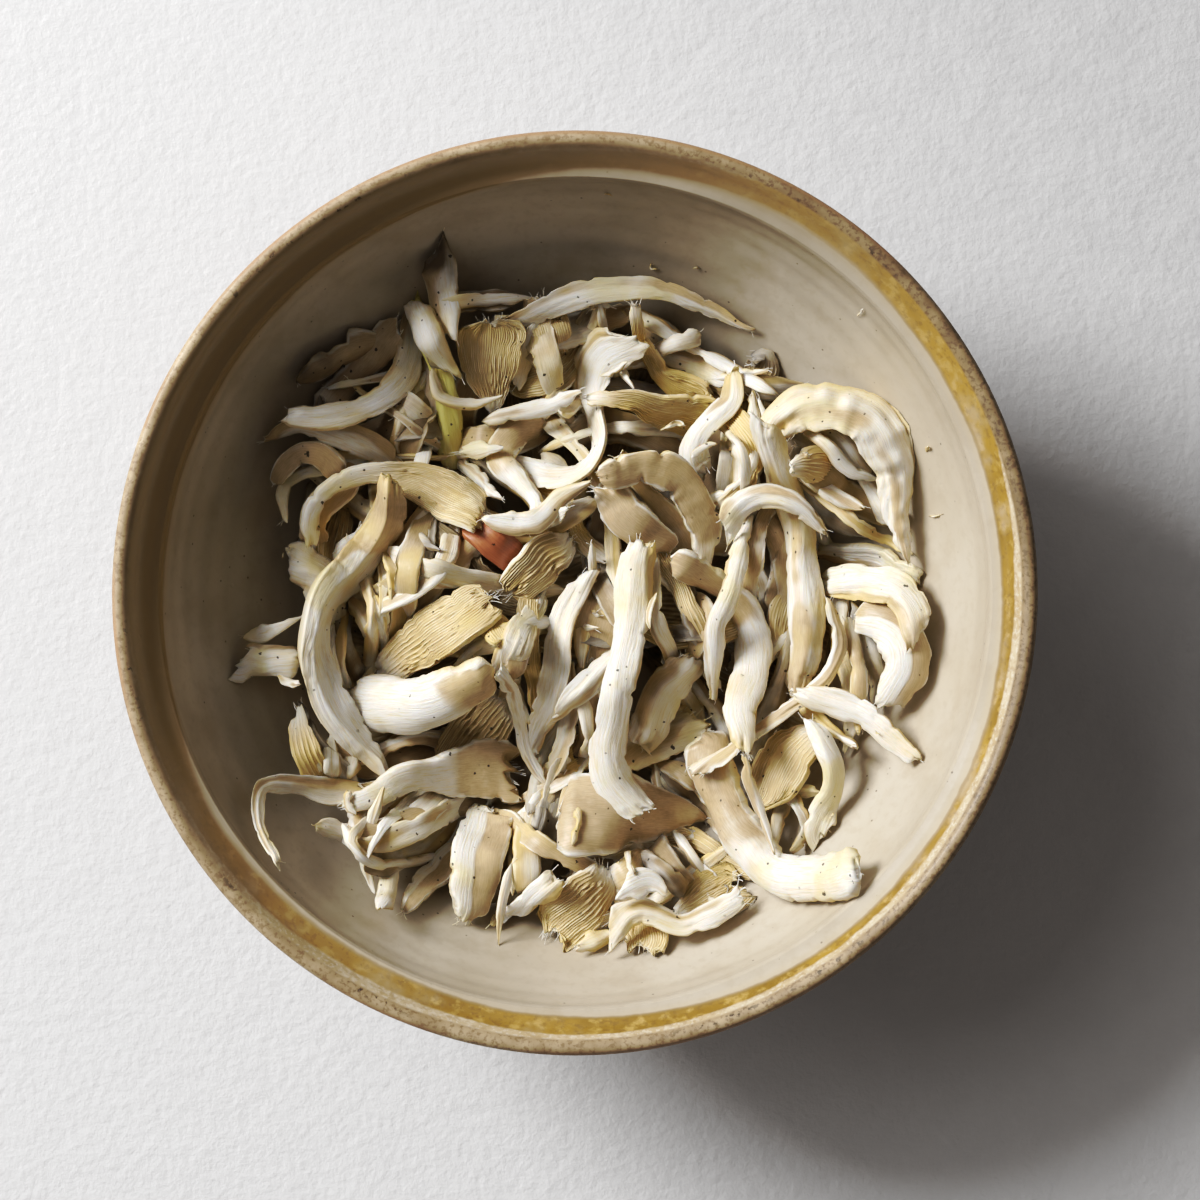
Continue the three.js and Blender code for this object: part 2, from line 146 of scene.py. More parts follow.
def new_piece(name, points, faces, finish, slot, numbers, flow=None):
    """A mesh object riding on the bowl, with its numbers and its flow map kept on its vertices."""
    mesh = bpy.data.meshes.new(name)
    mesh.from_pydata(np.asarray(points) * MM, [], faces)
    for key, values in numbers.items():
        layer = mesh.attributes.new(key, "FLOAT", "POINT")
        layer.data.foreach_set("value", np.asarray(values, np.float32).ravel())
    if flow is not None:
        corner = np.empty(len(mesh.loops), np.int32)
        mesh.loops.foreach_get("vertex_index", corner)
        layer = mesh.uv_layers.new(name="flow")
        layer.data.foreach_set("uv", np.asarray(flow, np.float32).reshape(-1, 2)[corner].ravel())
    mesh.shade_smooth()
    mesh.materials.append(finish)
    made = bpy.data.objects.new(name, mesh)
    bpy.context.scene.collection.objects.link(made)
    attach(made, "root")
    return made


def inside_wall(turn):
    """Radius and height of the inside, by an angle from the floor's middle out to the ridge."""
    rise = 1 - (1 - np.sin(turn) ** BELLY) ** RISE
    return np.stack([RIDGE_RADIUS * np.sin(turn), FLOOR_HEIGHT + (RIDGE_HEIGHT - FLOOR_HEIGHT) * rise], 1)


inner = inside_wall(np.linspace(0.02, math.pi / 2, 100))
ahead = np.gradient(inner, axis=0)
ahead /= np.linalg.norm(ahead, axis=1)[:, None]
outer = inner + WALL * np.stack([ahead[:, 1], -ahead[:, 0]], 1)
outer = outer[(outer[:, 0] > FOOT_RADIUS + 2.4) & (outer[:, 1] < RIDGE_HEIGHT - 4)][::-1]
lip = smooth_through([
    (104.05, 74), (104.3, 74.9), (104.9, 75.3), (106.7, 76.5), (109, 79.3), (110.4, 81.5), (111.4, 83.1),
    (112.3, 83.8), (113.2, 84), (114.1, 83.7), (114.8, 82.9), (115, 81.9), (114.5, 80.1), (113, 77),
    (111.2, 74), (109.6, 70.5),
], 5)
foot = smooth_through([
    (54.2, outer[-1][1] - 0.8), (53.3, 7.6), (52.6, 4), (52.2, 1), (51.5, 0.1), (49, 0), (46.8, 0.1),
    (46, 0.8), (45, 2.8), (43.6, 3.5), (30, 3.5), (2, 3.5),
], 5)
profile = np.concatenate([inner, lip[1:], outer, foot])
climb = np.concatenate([[0], np.cumsum(np.linalg.norm(np.diff(profile, axis=0), axis=1))])
climb -= climb[len(inner) - 1]
# Throwing rings, a little uneven round the wall
around = np.linspace(0, 2 * math.pi, BOWL_SIDES, endpoint=False)
thrown = 0.09 * np.sin(climb / 1.15 + 1.7 * np.sin(climb / 9))
thrown = thrown * np.clip((95 - np.abs(climb + 40)) / 30, 0, 1)
wobble = 0.12 * np.sin(2 * around + 0.6) + 0.07 * np.sin(5 * around + 2)
radius = profile[:, :1] + thrown[:, None] * (1 + 0.5 * np.sin(3 * around + climb[:, None] / 20))
radius = np.minimum(radius + wobble * np.clip(profile[:, :1] / 110 - 0.35, 0, 1), RIM_RADIUS + 0.2)
height = np.repeat(profile[:, 1:], BOWL_SIDES, 1)
bowl_points = np.stack([radius * np.cos(around), radius * np.sin(around), height], 2).reshape(-1, 3)
last_row = len(profile) - 1
bowl_faces = [
    (row * BOWL_SIDES + side, row * BOWL_SIDES + (side + 1) % BOWL_SIDES,
     (row + 1) * BOWL_SIDES + (side + 1) % BOWL_SIDES, (row + 1) * BOWL_SIDES + side)
    for row in range(last_row) for side in range(BOWL_SIDES)
]
bowl_faces.append(tuple(range(BOWL_SIDES - 1, -1, -1)))
bowl_faces.append(tuple(last_row * BOWL_SIDES + side for side in range(BOWL_SIDES)))

glaze, shader, shade = new_finish("glaze")
place = shade.node("ShaderNodeTexCoord", out=3)
climbed = kept(shade, "climb")
wander = (place.noise(40, 3) - 0.5) * 4 + (place.noise(300, 3) - 0.5) * 1.5
cream = place.noise(16, 4).step(0.35, 0.7).mix((0.475, 0.412, 0.315), (0.565, 0.505, 0.415))
cream = (place.noise(75, 4).step(0.48, 0.7) * 0.5).mix(cream, (0.40, 0.33, 0.235))
cream = (place.noise(420, 4).step(0.48, 0.7) * 0.3).mix(cream, (0.40, 0.335, 0.24))
# Painted shade: the cream darkens towards the ridge.
cream = (climbed.step(-16, -1) * 0.35).mix(cream, (0.37, 0.31, 0.225))
# Painted shade with a stain: a cloudy darker patch on one side of the wall.
cream = (kept(shade, "smoky") * place.noise(28, 4).step(0.2, 0.6)).mix(cream, (0.25, 0.205, 0.14))
specks = (1 - place.spots(300).step(0.05, 0.12)) * place.noise(190, 1).step(0.54, 0.62)
cream = (specks * 0.8).mix(cream, (0.09, 0.065, 0.04))
gold = place.noise(45, 5).step(0.35, 0.7).mix((0.36, 0.215, 0.045), (0.22, 0.125, 0.022))
gold = place.noise(260, 4).step(0.5, 0.68).mix(gold, (0.44, 0.29, 0.10))
gold = (place.noise(650, 3).step(0.5, 0.68) * 0.55).mix(gold, (0.17, 0.095, 0.028))
# Painted light and shade: towards the light the band turns pale with a painted highlight; away from it the
# gold and the pale glaze give way to darker copies, which are painted shade.
pale_side = kept(shade, "pale_side")
gold = pale_side.mix((0.31, 0.22, 0.115), gold)
pale_and_highlight = place.noise(90, 4).step(0.35, 0.65).mix((0.60, 0.50, 0.345), (0.47, 0.355, 0.20))
shaded_band = place.noise(60, 5).step(0.3, 0.7).mix((0.23, 0.158, 0.086), (0.37, 0.27, 0.155))
shaded_band = (place.noise(210, 4).step(0.53, 0.68) * 0.6).mix(shaded_band, (0.40, 0.32, 0.20))
pale_and_highlight = (place.noise(900, 3).step(0.48, 0.62) * 0.6).mix(pale_and_highlight, (0.70, 0.63, 0.50))
pale_and_highlight = (place.noise(650, 3).step(0.48, 0.66) * 0.5).mix(pale_and_highlight, (0.32, 0.215, 0.115))
pale_and_highlight = pale_side.mix(shaded_band, pale_and_highlight)
brown = place.noise(150, 4).step(0.35, 0.7).mix((0.15, 0.098, 0.048), (0.24, 0.165, 0.085))
# Painted light: the lip is paler on the side towards the light.
lit_lip = place.noise(150, 4).step(0.35, 0.7).mix((0.40, 0.295, 0.175), (0.56, 0.44, 0.28))
ashen = kept(shade, "ashen")
brown = ashen.mix(brown, lit_lip)
grit = ashen.mix((0.06, 0.034, 0.018), (0.22, 0.135, 0.07))
brown = (place.noise(900, 3).step(0.48, 0.64) * 0.6).mix(brown, grit)
edge = climbed + wander * 0.2
worn = (edge.step(14.4, 15.4) - edge.step(16.4, 17.4)) * place.noise(14, 3).step(0.45, 0.6)
brown = (worn * 0.8).mix(brown, (0.33, 0.19, 0.095))
burnt = (edge.step(11.6, 12.6) - edge.step(12.8, 14.2)) * place.noise(520, 4).step(0.55, 0.62)
burnt = burnt * place.noise(25, 3).step(0.42, 0.6)
brown_out = place.noise(30, 5).step(0.3, 0.7).mix((0.10, 0.062, 0.032), (0.16, 0.104, 0.057))
brown_out = (place.noise(240, 5).step(0.45, 0.65) * 0.5).mix(brown_out, (0.21, 0.145, 0.082))
brown_out = (specks * 0.8).mix(brown_out, (0.03, 0.02, 0.012))
clay = place.noise(400, 4).mix((0.30, 0.19, 0.11), (0.38, 0.26, 0.16))
band = kept(shade, "band") + wander * 0.5
colour = (band.step(-3, 0.2) * 0.35).mix(cream, (0.46, 0.36, 0.21))
colour = (band.step(-0.5, 0.9) * (1 - pale_side * place.noise(55, 4).step(0.5, 0.7) * 0.6)).mix(colour, gold)
# Where the band meets the cream: a dark pooled edge towards the light, and away from it a pale line, which
# is a painted highlight on the ridge.
line = pale_side.mix((0.50, 0.42, 0.31), (0.20, 0.12, 0.03))
colour = ((band.step(-0.6, 0.1) - band.step(0.4, 1.3)) * 0.55).mix(colour, line)
colour = (kept(shade, "thin") + wander * 0.8).step(-0.5, 0.6).mix(colour, pale_and_highlight)
colour = (edge + pale_side * 1.8).step(12.6, 13.6).mix(colour, brown)
colour = (burnt * 0.9).mix(colour, (0.035, 0.022, 0.014))
colour = (climbed + wander * 0.3).step(17, 18.6).mix(colour, brown_out)
colour = (climbed + wander).step(104, 107).mix(colour, clay)
feed(shader, "Base Color", colour)
ridge = climbed.step(-3, -1) - climbed.step(5, 7)
dull = edge.step(10, 12) * 0.2 + climbed.step(103, 107) * 0.3 + ridge * 0.45
feed(shader, "Roughness", 0.32 + place.noise(180, 4) * 0.16 + dull)
pits = (1 - place.spots(110).step(0.03, 0.08)) * place.noise(60, 2).step(0.52, 0.62)
relief = place.noise(120, 4) * 0.4 + place.noise(700, 2) * 0.12 - pits * 0.7
relief = relief + edge.step(9, 12) * place.noise(420, 3)
feed(shader, "Normal", relief.bump(0.3, 0.4 * MM))
shader.inputs["Coat Weight"].default_value = 0.08
shader.inputs["Coat Roughness"].default_value = 0.15

# Where the cream ends, where the glaze runs thin, and how far painted light pales the lip, every 30 degrees
# round the bowl
CREAM_ENDS = (3.8, 4.1, 4.9, 2.6, -4.5, -6, -4.5, 2.5, 2, 2.9, 6.2, 6.2)
RUNS_THIN = (7.9, 13, 13, 9.5, 12.4, 12.4, 11, 9.9, 7.6, 9.2, 9.2, 8.9)
LIP_LIGHT = (0.15, 0.1, 0.2, 0.8, 0.9, 0.9, 0.6, 0.5, 0.6, 0.5, 0.6, 0.4)


def round_bowl(values):
    """Values read between, for each side of the bowl."""
    return np.interp(around, np.arange(13) * math.pi / 6, values + values[:1])[None]


band = climb[:, None] - round_bowl(CREAM_ENDS)
thin = climb[:, None] - round_bowl(RUNS_THIN)
ashen = np.repeat(round_bowl(LIP_LIGHT), len(climb), 0)
# The middle of the side whose rim is painted lit, and of the patch painted darker with shade and a stain
LIT_SIDE_MIDDLE, SHADE_STAIN_MIDDLE, SHADE_STAIN_WIDTH = math.radians(320), math.radians(66), 0.42
pale_side = 0.5 + 0.5 * np.tanh(2.2 * np.cos(around - LIT_SIDE_MIDDLE) + 0.3)
# A patch of the wall painted darker, partly shade and partly a stain.
smoky = 0.6 * np.exp(-((around - SHADE_STAIN_MIDDLE) / SHADE_STAIN_WIDTH) ** 2)
bowl_numbers = {
    "climb": np.repeat(climb, BOWL_SIDES),
    "band": band.ravel(),
    "thin": thin.ravel(),
    "ashen": ashen.ravel(),
    "pale_side": np.tile(pale_side, len(climb)),
    "smoky": np.tile(smoky, len(climb)),
}
bowl = new_piece("stoneware_bowl", bowl_points, bowl_faces, glaze, "glaze", bowl_numbers)
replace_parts(bowl, "bowl")

# Whole caps fill the bottom of the bowl and show only between the pieces above. Like every mushroom piece,
# each is read from its solid, ring by ring, and drawn anew with smooth skin, thin gills and torn flesh.

PLAIN_SIDES, GILLED_SIDES = 8, 14
SKIN_MIDDLE, RIGHT_EDGE, PLAIN_BACK, GILL_MIDDLE = 2, 4, 6, 9
LAST_RING = 0.95  # share of a solid's length, past which it closes on its tip


def rings_of(node, sides):
    """The solid's rings of points from the torn end on, and the tip that closes it."""
    solid = bmesh.new()
    solid.from_mesh(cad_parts[node].data)
    bmesh.ops.remove_doubles(solid, verts=solid.verts, dist=1e-5)
    solid.verts.index_update()
    points = np.array([v.co for v in solid.verts]) / MM
    opposite = {}
    for face in solid.faces:
        a, b, c = [v.index for v in face.verts]
        opposite[a, b], opposite[b, c], opposite[c, a] = c, a, b
    solid.free()
    reach = np.bincount([a for a, b in opposite], minlength=len(points))
    first = int(np.argmax(reach))
    spokes = [next(b for a, b in opposite if a == first)]
    while len(spokes) < reach[first]:
        spokes.append(opposite[first, spokes[-1]])
    for turn in range(len(spokes)):
        order = spokes[turn:] + spokes[:turn]
        ring = [first, order[0]] + order[3:][::-1]
        rings = []
        while len(set(ring)) == sides:
            rings.append(ring)
            ring = [opposite.get((ring[i], ring[(i + 1) % sides]), -1) for i in range(sides)]
        if len(rings) * sides + 1 == len(points) and len(set(ring)) == 1:
            return points[np.array(rings)], points[ring[0]]
    raise ValueError(f"{node} has no rings")


def unit(vectors):
    return vectors / np.linalg.norm(vectors, axis=-1, keepdims=True)


def spine_of(node, sides):
    """Along the piece: middle, way across, width, and how far its skin and its back stand off the middle."""
    rings, tip = rings_of(node, sides)
    back = PLAIN_BACK if sides == PLAIN_SIDES else GILL_MIDDLE
    middle = (rings[:, 0] + rings[:, RIGHT_EDGE]) / 2
    across = rings[:, RIGHT_EDGE] - rings[:, 0]
    out = unit(np.cross(across, np.gradient(np.concatenate([middle, tip[None]]), axis=0)[:-1]))
    share = np.linspace(0, LAST_RING, len(rings))
    rounded = np.sqrt(1 - np.clip((share - 0.8) / 0.2, 0, 1) ** 2)
    wide = np.linalg.norm(across, axis=1) / rounded
    skin = np.einsum("ij,ij->i", rings[:, SKIN_MIDDLE] - middle, out) / np.sqrt(rounded)
    under = np.einsum("ij,ij->i", rings[:, back] - middle, out) / np.sqrt(rounded)
    middle = np.concatenate([middle, tip[None]])
    across = unit(np.concatenate([across, across[-1:]]))
    return middle, across, *[np.append(v, v[-1]) for v in (wide, skin, under)]


def cloud(rng, rows, columns, along, around):
    """Smooth seeded bumps from -1 to 1 on rows by columns, closing on themselves round the columns."""
    along, around = max(2, int(along)), max(2, int(around))
    cells = rng.uniform(-1, 1, (along + 2, around))
    x, y = np.linspace(0, along, rows), np.linspace(0, around, columns, endpoint=False)
    i, j = x.astype(int), y.astype(int)
    s, t = x - i, y - j
    s, t = (s * s * (3 - 2 * s))[:, None], (t * t * (3 - 2 * t))[None]
    after = (j + 1) % around
    near = cells[i][:, j] * (1 - t) + cells[i][:, after] * t
    far = cells[i + 1][:, j] * (1 - t) + cells[i + 1][:, after] * t
    return near * (1 - s) + far * s


def ease(x, low, high):
    t = np.clip((x - low) / (high - low), 0, 1)
    return t * t * (3 - 2 * t)


def along_piece(values, share):
    """A value that passes smoothly through the given ones, from the torn end to the far end."""
    return curve_at(np.array(values, float), share * (len(values) - 1))


def torn_section(rng, rows, columns, length):
    """Sections of flesh torn along its grain: flat faces that widen, narrow and run out along the piece."""
    turn = np.linspace(0, 2 * math.pi, columns, endpoint=False)
    count = int(rng.integers(5, 8))
    faces = (np.arange(count) + rng.uniform(-0.35, 0.35, count)) * 2 * math.pi / count
    away = np.concatenate([1 + 0.3 * cloud(rng, rows, 1, length / 20, 2) for _ in faces], 1)
    lean = np.maximum(np.cos(turn[:, None] - faces), 0)
    reach = ((lean[None] / away[:, None]) ** 28).sum(2) ** (-1 / 28)
    across, up = -np.cos(turn) * reach, np.sin(turn) * reach
    return across / np.abs(across).max(1, keepdims=True), up / np.abs(up).max(1, keepdims=True)


def slab_section(skin_points, side_points, gill_points):
    """Section of a torn cap: across, whether on the skin, a torn side or the gills, and how far down."""
    skin = np.linspace(-0.97, 0.97, skin_points)
    side = np.ones(side_points)
    gills = np.linspace(0.97, -0.97, gill_points)
    region = np.repeat([0, 1, 2, 1], [skin_points, side_points, gill_points, side_points])
    drop = np.linspace(0, 1, side_points + 2)[1:-1]
    down = np.concatenate([np.zeros(skin_points), drop, np.ones(gill_points), 1 - drop])
    return np.concatenate([skin, side, gills, -side]), region, down


def tube_faces(rows, columns):
    """Quads between the rows of a closed tube, and a fan that closes each end."""
    r, c = np.meshgrid(np.arange(rows - 1), np.arange(columns), indexing="ij")
    here, beside = r * columns + c, r * columns + (c + 1) % columns
    quads = np.stack([here, beside, beside + columns, here + columns], 2).reshape(-1, 4).tolist()
    c = np.arange(columns)
    low = (rows - 1) * columns
    start = np.stack([(c + 1) % columns, c, np.full(columns, rows * columns)], 1).tolist()
    end = np.stack([low + c, low + (c + 1) % columns, np.full(columns, rows * columns + 1)], 1).tolist()
    return quads + start + end


torn_points, torn_pulls, landing = [], [], []
CLEAR = 0.4  # between a piece and the bowl


def torn_piece(spine, rng, look, gilled):
    """Points, faces, numbers and flow of one torn piece, from its torn end to its far end.

    look sets the piece apart: its width in mm and its tan, warm, wilted and odd tints, each as values along
    it, and how torn, ragged, wrinkled, bent and twisted it is.
    """
    middle, across, wide, skin, under = spine
    inwards = look.get("inwards", 1)
    middle = middle * (inwards, inwards, 1) - (0, 0, look.get("sunk", 0))
    fine = np.linspace(0, len(middle) - 1, 400)
    run = np.linalg.norm(np.diff(curve_at(middle, fine), axis=0), axis=1)
    run = np.concatenate([[0], np.cumsum(run)])
    length = run[-1]
    rows = int(np.clip(length / look.get("step", 0.8), 16, 120))
    share = np.linspace(0, 1, rows)
    x = np.interp(share * length, run, fine)
    middle, across, skin, under = [curve_at(v, x) for v in (middle, across, skin, under)]
    wide = along_piece(look["wide"], share) if "wide" in look else look["narrow"] * curve_at(wide, x)
    ahead = unit(np.gradient(middle, axis=0))
    across = unit(across - ahead * np.einsum("ij,ij->i", across, ahead)[:, None])
    out = np.cross(across, ahead)
    roll, twist = rng.uniform(-0.35, 0.35), rng.uniform(-0.6, 0.6)
    if gilled:
        roll, twist = 0.5 * roll, 0.5 * twist
    turn = look.get("roll", roll) + look.get("twist", twist) * np.sin(math.pi * share)
    turn = turn[:, None] + 0.25 * cloud(rng, rows, 1, length / 15, 2)
    across, out = across * np.cos(turn) + out * np.sin(turn), out * np.cos(turn) - across * np.sin(turn)
    middle = middle + across * cloud(rng, rows, 1, length / 8, 2) * 0.4
    left = np.clip((1 - share) * length / look.get("blunt", 3.0), 0, 1)
    gone = np.clip(share * length / look.get("start", 3.0), 0, 1)
    if gilled:
        close = (0.3 + 0.7 * np.sqrt(1 - (1 - left) ** 2)) * (0.5 + 0.5 * gone)
    else:
        taper = look.get("taper", 0.8)
        close = taper + (1 - taper) * np.minimum(left, gone)
    half = (0.5 * wide * close)[:, None]
    slim = look.get("thick", 1) * (0.25 + 0.75 * np.minimum(left, gone) ** 0.7)
    skin, under = (skin * slim)[:, None], (under * slim)[:, None]
    body = share[:, None]
    fibre = look.get("fibre", 0.5)
    gill = crest = np.zeros((rows, 1))

    def bumps(long, around, columns):
        """Seeded bumps about that many mm long, with that many round the piece."""
        return cloud(rng, rows, columns, length / long, around)

    if gilled:
        gills = int(np.clip(wide.max() / look.get("gill_gap", 0.65), 6, 40))
        section = slab_section(look.get("skin_points", 18), 5, gills * look.get("gill_cut", 4))
        u, region, down = [v[None] for v in section]
        columns = u.shape[1]
        high = skin * (1 - 0.45 * np.abs(u) ** 3)
        low = under * (1 - 0.4 * np.abs(u) ** 4)
        v = high * (1 - down) + low * down
        grain = bumps(1.3, 46, columns) * 0.3 + bumps(5, 12, columns) * 0.3
        u = u * (1 + np.where(region == 1, grain * fibre / half, 0))
        wrinkle = bumps(2.5, 9, columns) * 0.1 + bumps(9, 5, columns) * 0.5
        v = v + np.where(region == 0, wrinkle * look.get("wrinkle", 1), 0)
        gills_from = look.get("gills_from", 0.02)
        grown = ease(body, gills_from, gills_from + 0.25)
        sway = bumps(7, 2, 1) * 0.5 + bumps(5, 9, columns) * 0.3
        phase = (u * 0.5 + 0.5) * gills + sway
        blade = 1 - np.abs(2 * (phase % 1) - 1)
        tall = 0.7 + 0.55 * bumps(4, gills, columns) + 0.35 * bumps(1.2, gills, columns)
        # Every other blade is a short one, which starts farther out
        started = np.where(np.floor(phase) % 2 > 0, ease(body + 0.2 * sway, 0.3, 0.7), 1)
        tall = np.clip(tall, 0.05, 1.3) * started
        crest = np.where(region == 2, blade ** 1.5 * tall * grown, 0)
        deep = look.get("gill_deep", 0.45)
        broken = np.clip(bumps(6, 5, columns) * 1.5, 0, 1) * grown
        flakes = np.clip(bumps(1.5, gills * 1.4, columns) * 3, -1, 1)
        lift = crest * deep - 0.4 * deep * grown + broken * flakes * 0.35
        v = v + np.sign(under) * np.where(region == 2, lift, 0)
        gill = np.where(region == 2, grown, 0)
        shaded_underside = np.where(region == 1, down, 0)
    else:
        columns = look.get("columns", 64)
        u, v = torn_section(rng, rows, columns, length)
        v = np.where(v > 0, v * skin, -v * under)
        depth = np.maximum(np.abs(np.where(v > 0, skin, under)), 0.3)
        normal_u, normal_v = u / half, v / depth ** 2
        size = np.sqrt(normal_u ** 2 + normal_v ** 2) + 1e-6
        grain = bumps(9, 15, columns) * 0.2 + bumps(7, 32, columns) * 0.12
        coarse = np.clip(bumps(18, 3, columns), 0, 1)
        grain = grain + coarse * bumps(1.6, 30, columns) * 0.35
        layers = np.tanh(7 * bumps(13, 8, columns)) * 0.3
        grain = (grain + layers) * fibre + bumps(3, 12, columns) * look.get("knobs", 0)
        grain = grain * np.minimum(1, depth / 1.6)
        u = u + grain * normal_u / size / half
        v = v + grain * normal_v / size
        shaded_underside = np.clip(-v / depth, -1, 1) * 0.5 + 0.5
    # Torn edges, each side its own way, with nicks where a strand pulled out
    tear = look.get("tear", 0.45)
    offset = bumps(6, 2, 2) * 0.9 + bumps(1.7, 2, 2) * 0.3
    nick = np.clip(bumps(2.6, 2, 2) - 0.5, 0, 1) * 4.5
    offset = np.clip(tear * (offset - nick) / half, -0.45, 0.3)
    u = u * (1 + np.where(u < 0, offset[:, :1], offset[:, 1:]))
    # The section bends like a gutter
    gutter = look.get("gutter", rng.uniform(-0.35, 0.35)) * (1 + 0.6 * bumps(18, 2, 1))
    v = v + gutter * half * (0.5 - u ** 2) * np.sin(math.pi * np.clip(body, 0.06, 0.94)) ** 0.5
    points = middle[:, None] + (u * half)[..., None] * across[:, None] + v[..., None] * out[:, None]
    # Ragged, slanting ends of uneven strands
    ragged = look.get("ragged", (1.4, 1.2))
    for end, reach in enumerate(ragged):
        near = np.clip(1 - np.abs(body - end) * length / 8, 0, 1)
        slant = u * half * rng.uniform(0.3, 1.0) * rng.choice([-1, 1]) * (0.3 if gilled else 1)
        points = points + (near * slant)[..., None] * ahead[:, None]
        near = np.clip(1 - np.abs(body - end) * length / 6, 0, 1)
        strands = rng.uniform(-1, 1, 64) + np.repeat(rng.uniform(-0.7, 0.7, 16), 4)
        teeth = np.interp(u * half * 1.2 + 32, np.arange(64), strands)
        points = points + (near * teeth * reach)[..., None] * ahead[:, None]
    # Nothing reaches through the bowl
    floor_below = np.interp(np.hypot(points[..., 0], points[..., 1]), inner[:, 0], inner[:, 1])
    points[..., 2] = np.maximum(points[..., 2], floor_below + CLEAR)
    spots, fine_spots = bumps(8, 4, columns), bumps(3, 9, columns)
    tan = along_piece(look.get("tan", (0, 0)), share)[:, None] + 0.25 * spots + 0.12 * fine_spots
    if gilled:
        bare = ease(np.abs(u) + 0.08 * fine_spots, 0.97, 0.85)
        skin_from = look.get("skin_from", -2)
        bare = bare * ease(u + 0.1 * spots, skin_from, skin_from + 0.12)
        hide = np.where(region == 0, ease(tan, 0.25, 0.75) * bare, 0)
    else:
        # A narrow strip of the stem's outer skin is left along one side
        skinned = np.cos(np.linspace(0, 2 * math.pi, columns) - rng.uniform(-0.4, math.pi + 0.4))
        skinned = 1.6 * np.maximum(skinned, 0) ** 4 - 0.35
        hide = ease(tan + 0.5 * skinned[None], 0.22, 0.8)
    warm = along_piece(look.get("warm", (0.2, 0.1, 0.2)), share)[:, None]
    numbers = {
        "skin": hide,
        "gill": gill,
        "crest": np.clip(crest, 0, 1),
        # Painted shade: the warm tint grows towards the underside of each piece.
        "warm": warm + 0.3 * spots + 0.6 * shaded_underside,
        "wilt": along_piece(look.get("wilt", (0, 0)), share)[:, None] + 0.12 * fine_spots,
        "odd": along_piece(look.get("odd", (0, 0)), share)[:, None],
    }
    numbers = {key: np.broadcast_to(value, (rows, columns)) for key, value in numbers.items()}
    flow = np.stack(np.broadcast_arrays(body * length / 10, u * half / 10), 2)
    # Each end is closed by a torn face of bare flesh
    rings, marks, flows = [points], {key: [value] for key, value in numbers.items()}, [flow]
    for row, way in ((0, -1), (rows - 1, 1)):
        centre = points[row].mean(0)
        for shrink in (0.95, 0.6, 0.25):
            jut = ahead[row] * cloud(rng, 2, columns, 2, 14)[0][:, None] * 0.35 * shrink
            ring = (centre + (points[row] - centre) * shrink + jut)[None]
            flesh_only = {key: np.zeros((1, columns)) for key in ("skin", "gill", "crest")}
            for key, value in numbers.items():
                flesh_only.setdefault(key, value[row][None])
            at = 0 if row == 0 else len(rings)
            rings.insert(at, ring)
            flows.insert(at, flow[row][None])
            for key in marks:
                marks[key].insert(at, flesh_only[key])
        stray = rng.normal(0, 0.25, (columns, 3))
        pulls = unit(way * ahead[row] + 0.35 * unit(points[row] - centre) + stray)
        reach = ragged[max(0, way)]
        pick = rng.random(columns) < reach * look.get("frayed", 0.04)
        torn_points.append(points[row][pick])
        torn_pulls.append(pulls[pick] * (0.6 + reach * rng.uniform(0.2, 1.2, (pick.sum(), 1))))
    grid = np.concatenate(rings)
    ends = [grid[0].mean(0), grid[-1].mean(0)]
    flat = np.concatenate([grid.reshape(-1, 3), ends])
    numbers = {key: np.append(np.concatenate(value).ravel(), [0, 0]) for key, value in marks.items()}
    flow = np.concatenate(flows)
    flow = np.concatenate([flow.reshape(-1, 2), flow[0].mean(0)[None], flow[-1].mean(0)[None]])
    landing.append(points)
    return flat, tube_faces(len(grid), columns), numbers, flow


def mushroom_piece(node, sides, finish, slot, look, name):
    """Draws one solid anew, from a seed of its own."""
    rng = np.random.default_rng(sum(ord(letter) * (i + 7) for i, letter in enumerate(node)))
    points, faces, numbers, flow = torn_piece(spine_of(node, sides), rng, look, sides == GILLED_SIDES)
    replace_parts(new_piece(name, points, faces, finish, slot, numbers, flow), node)


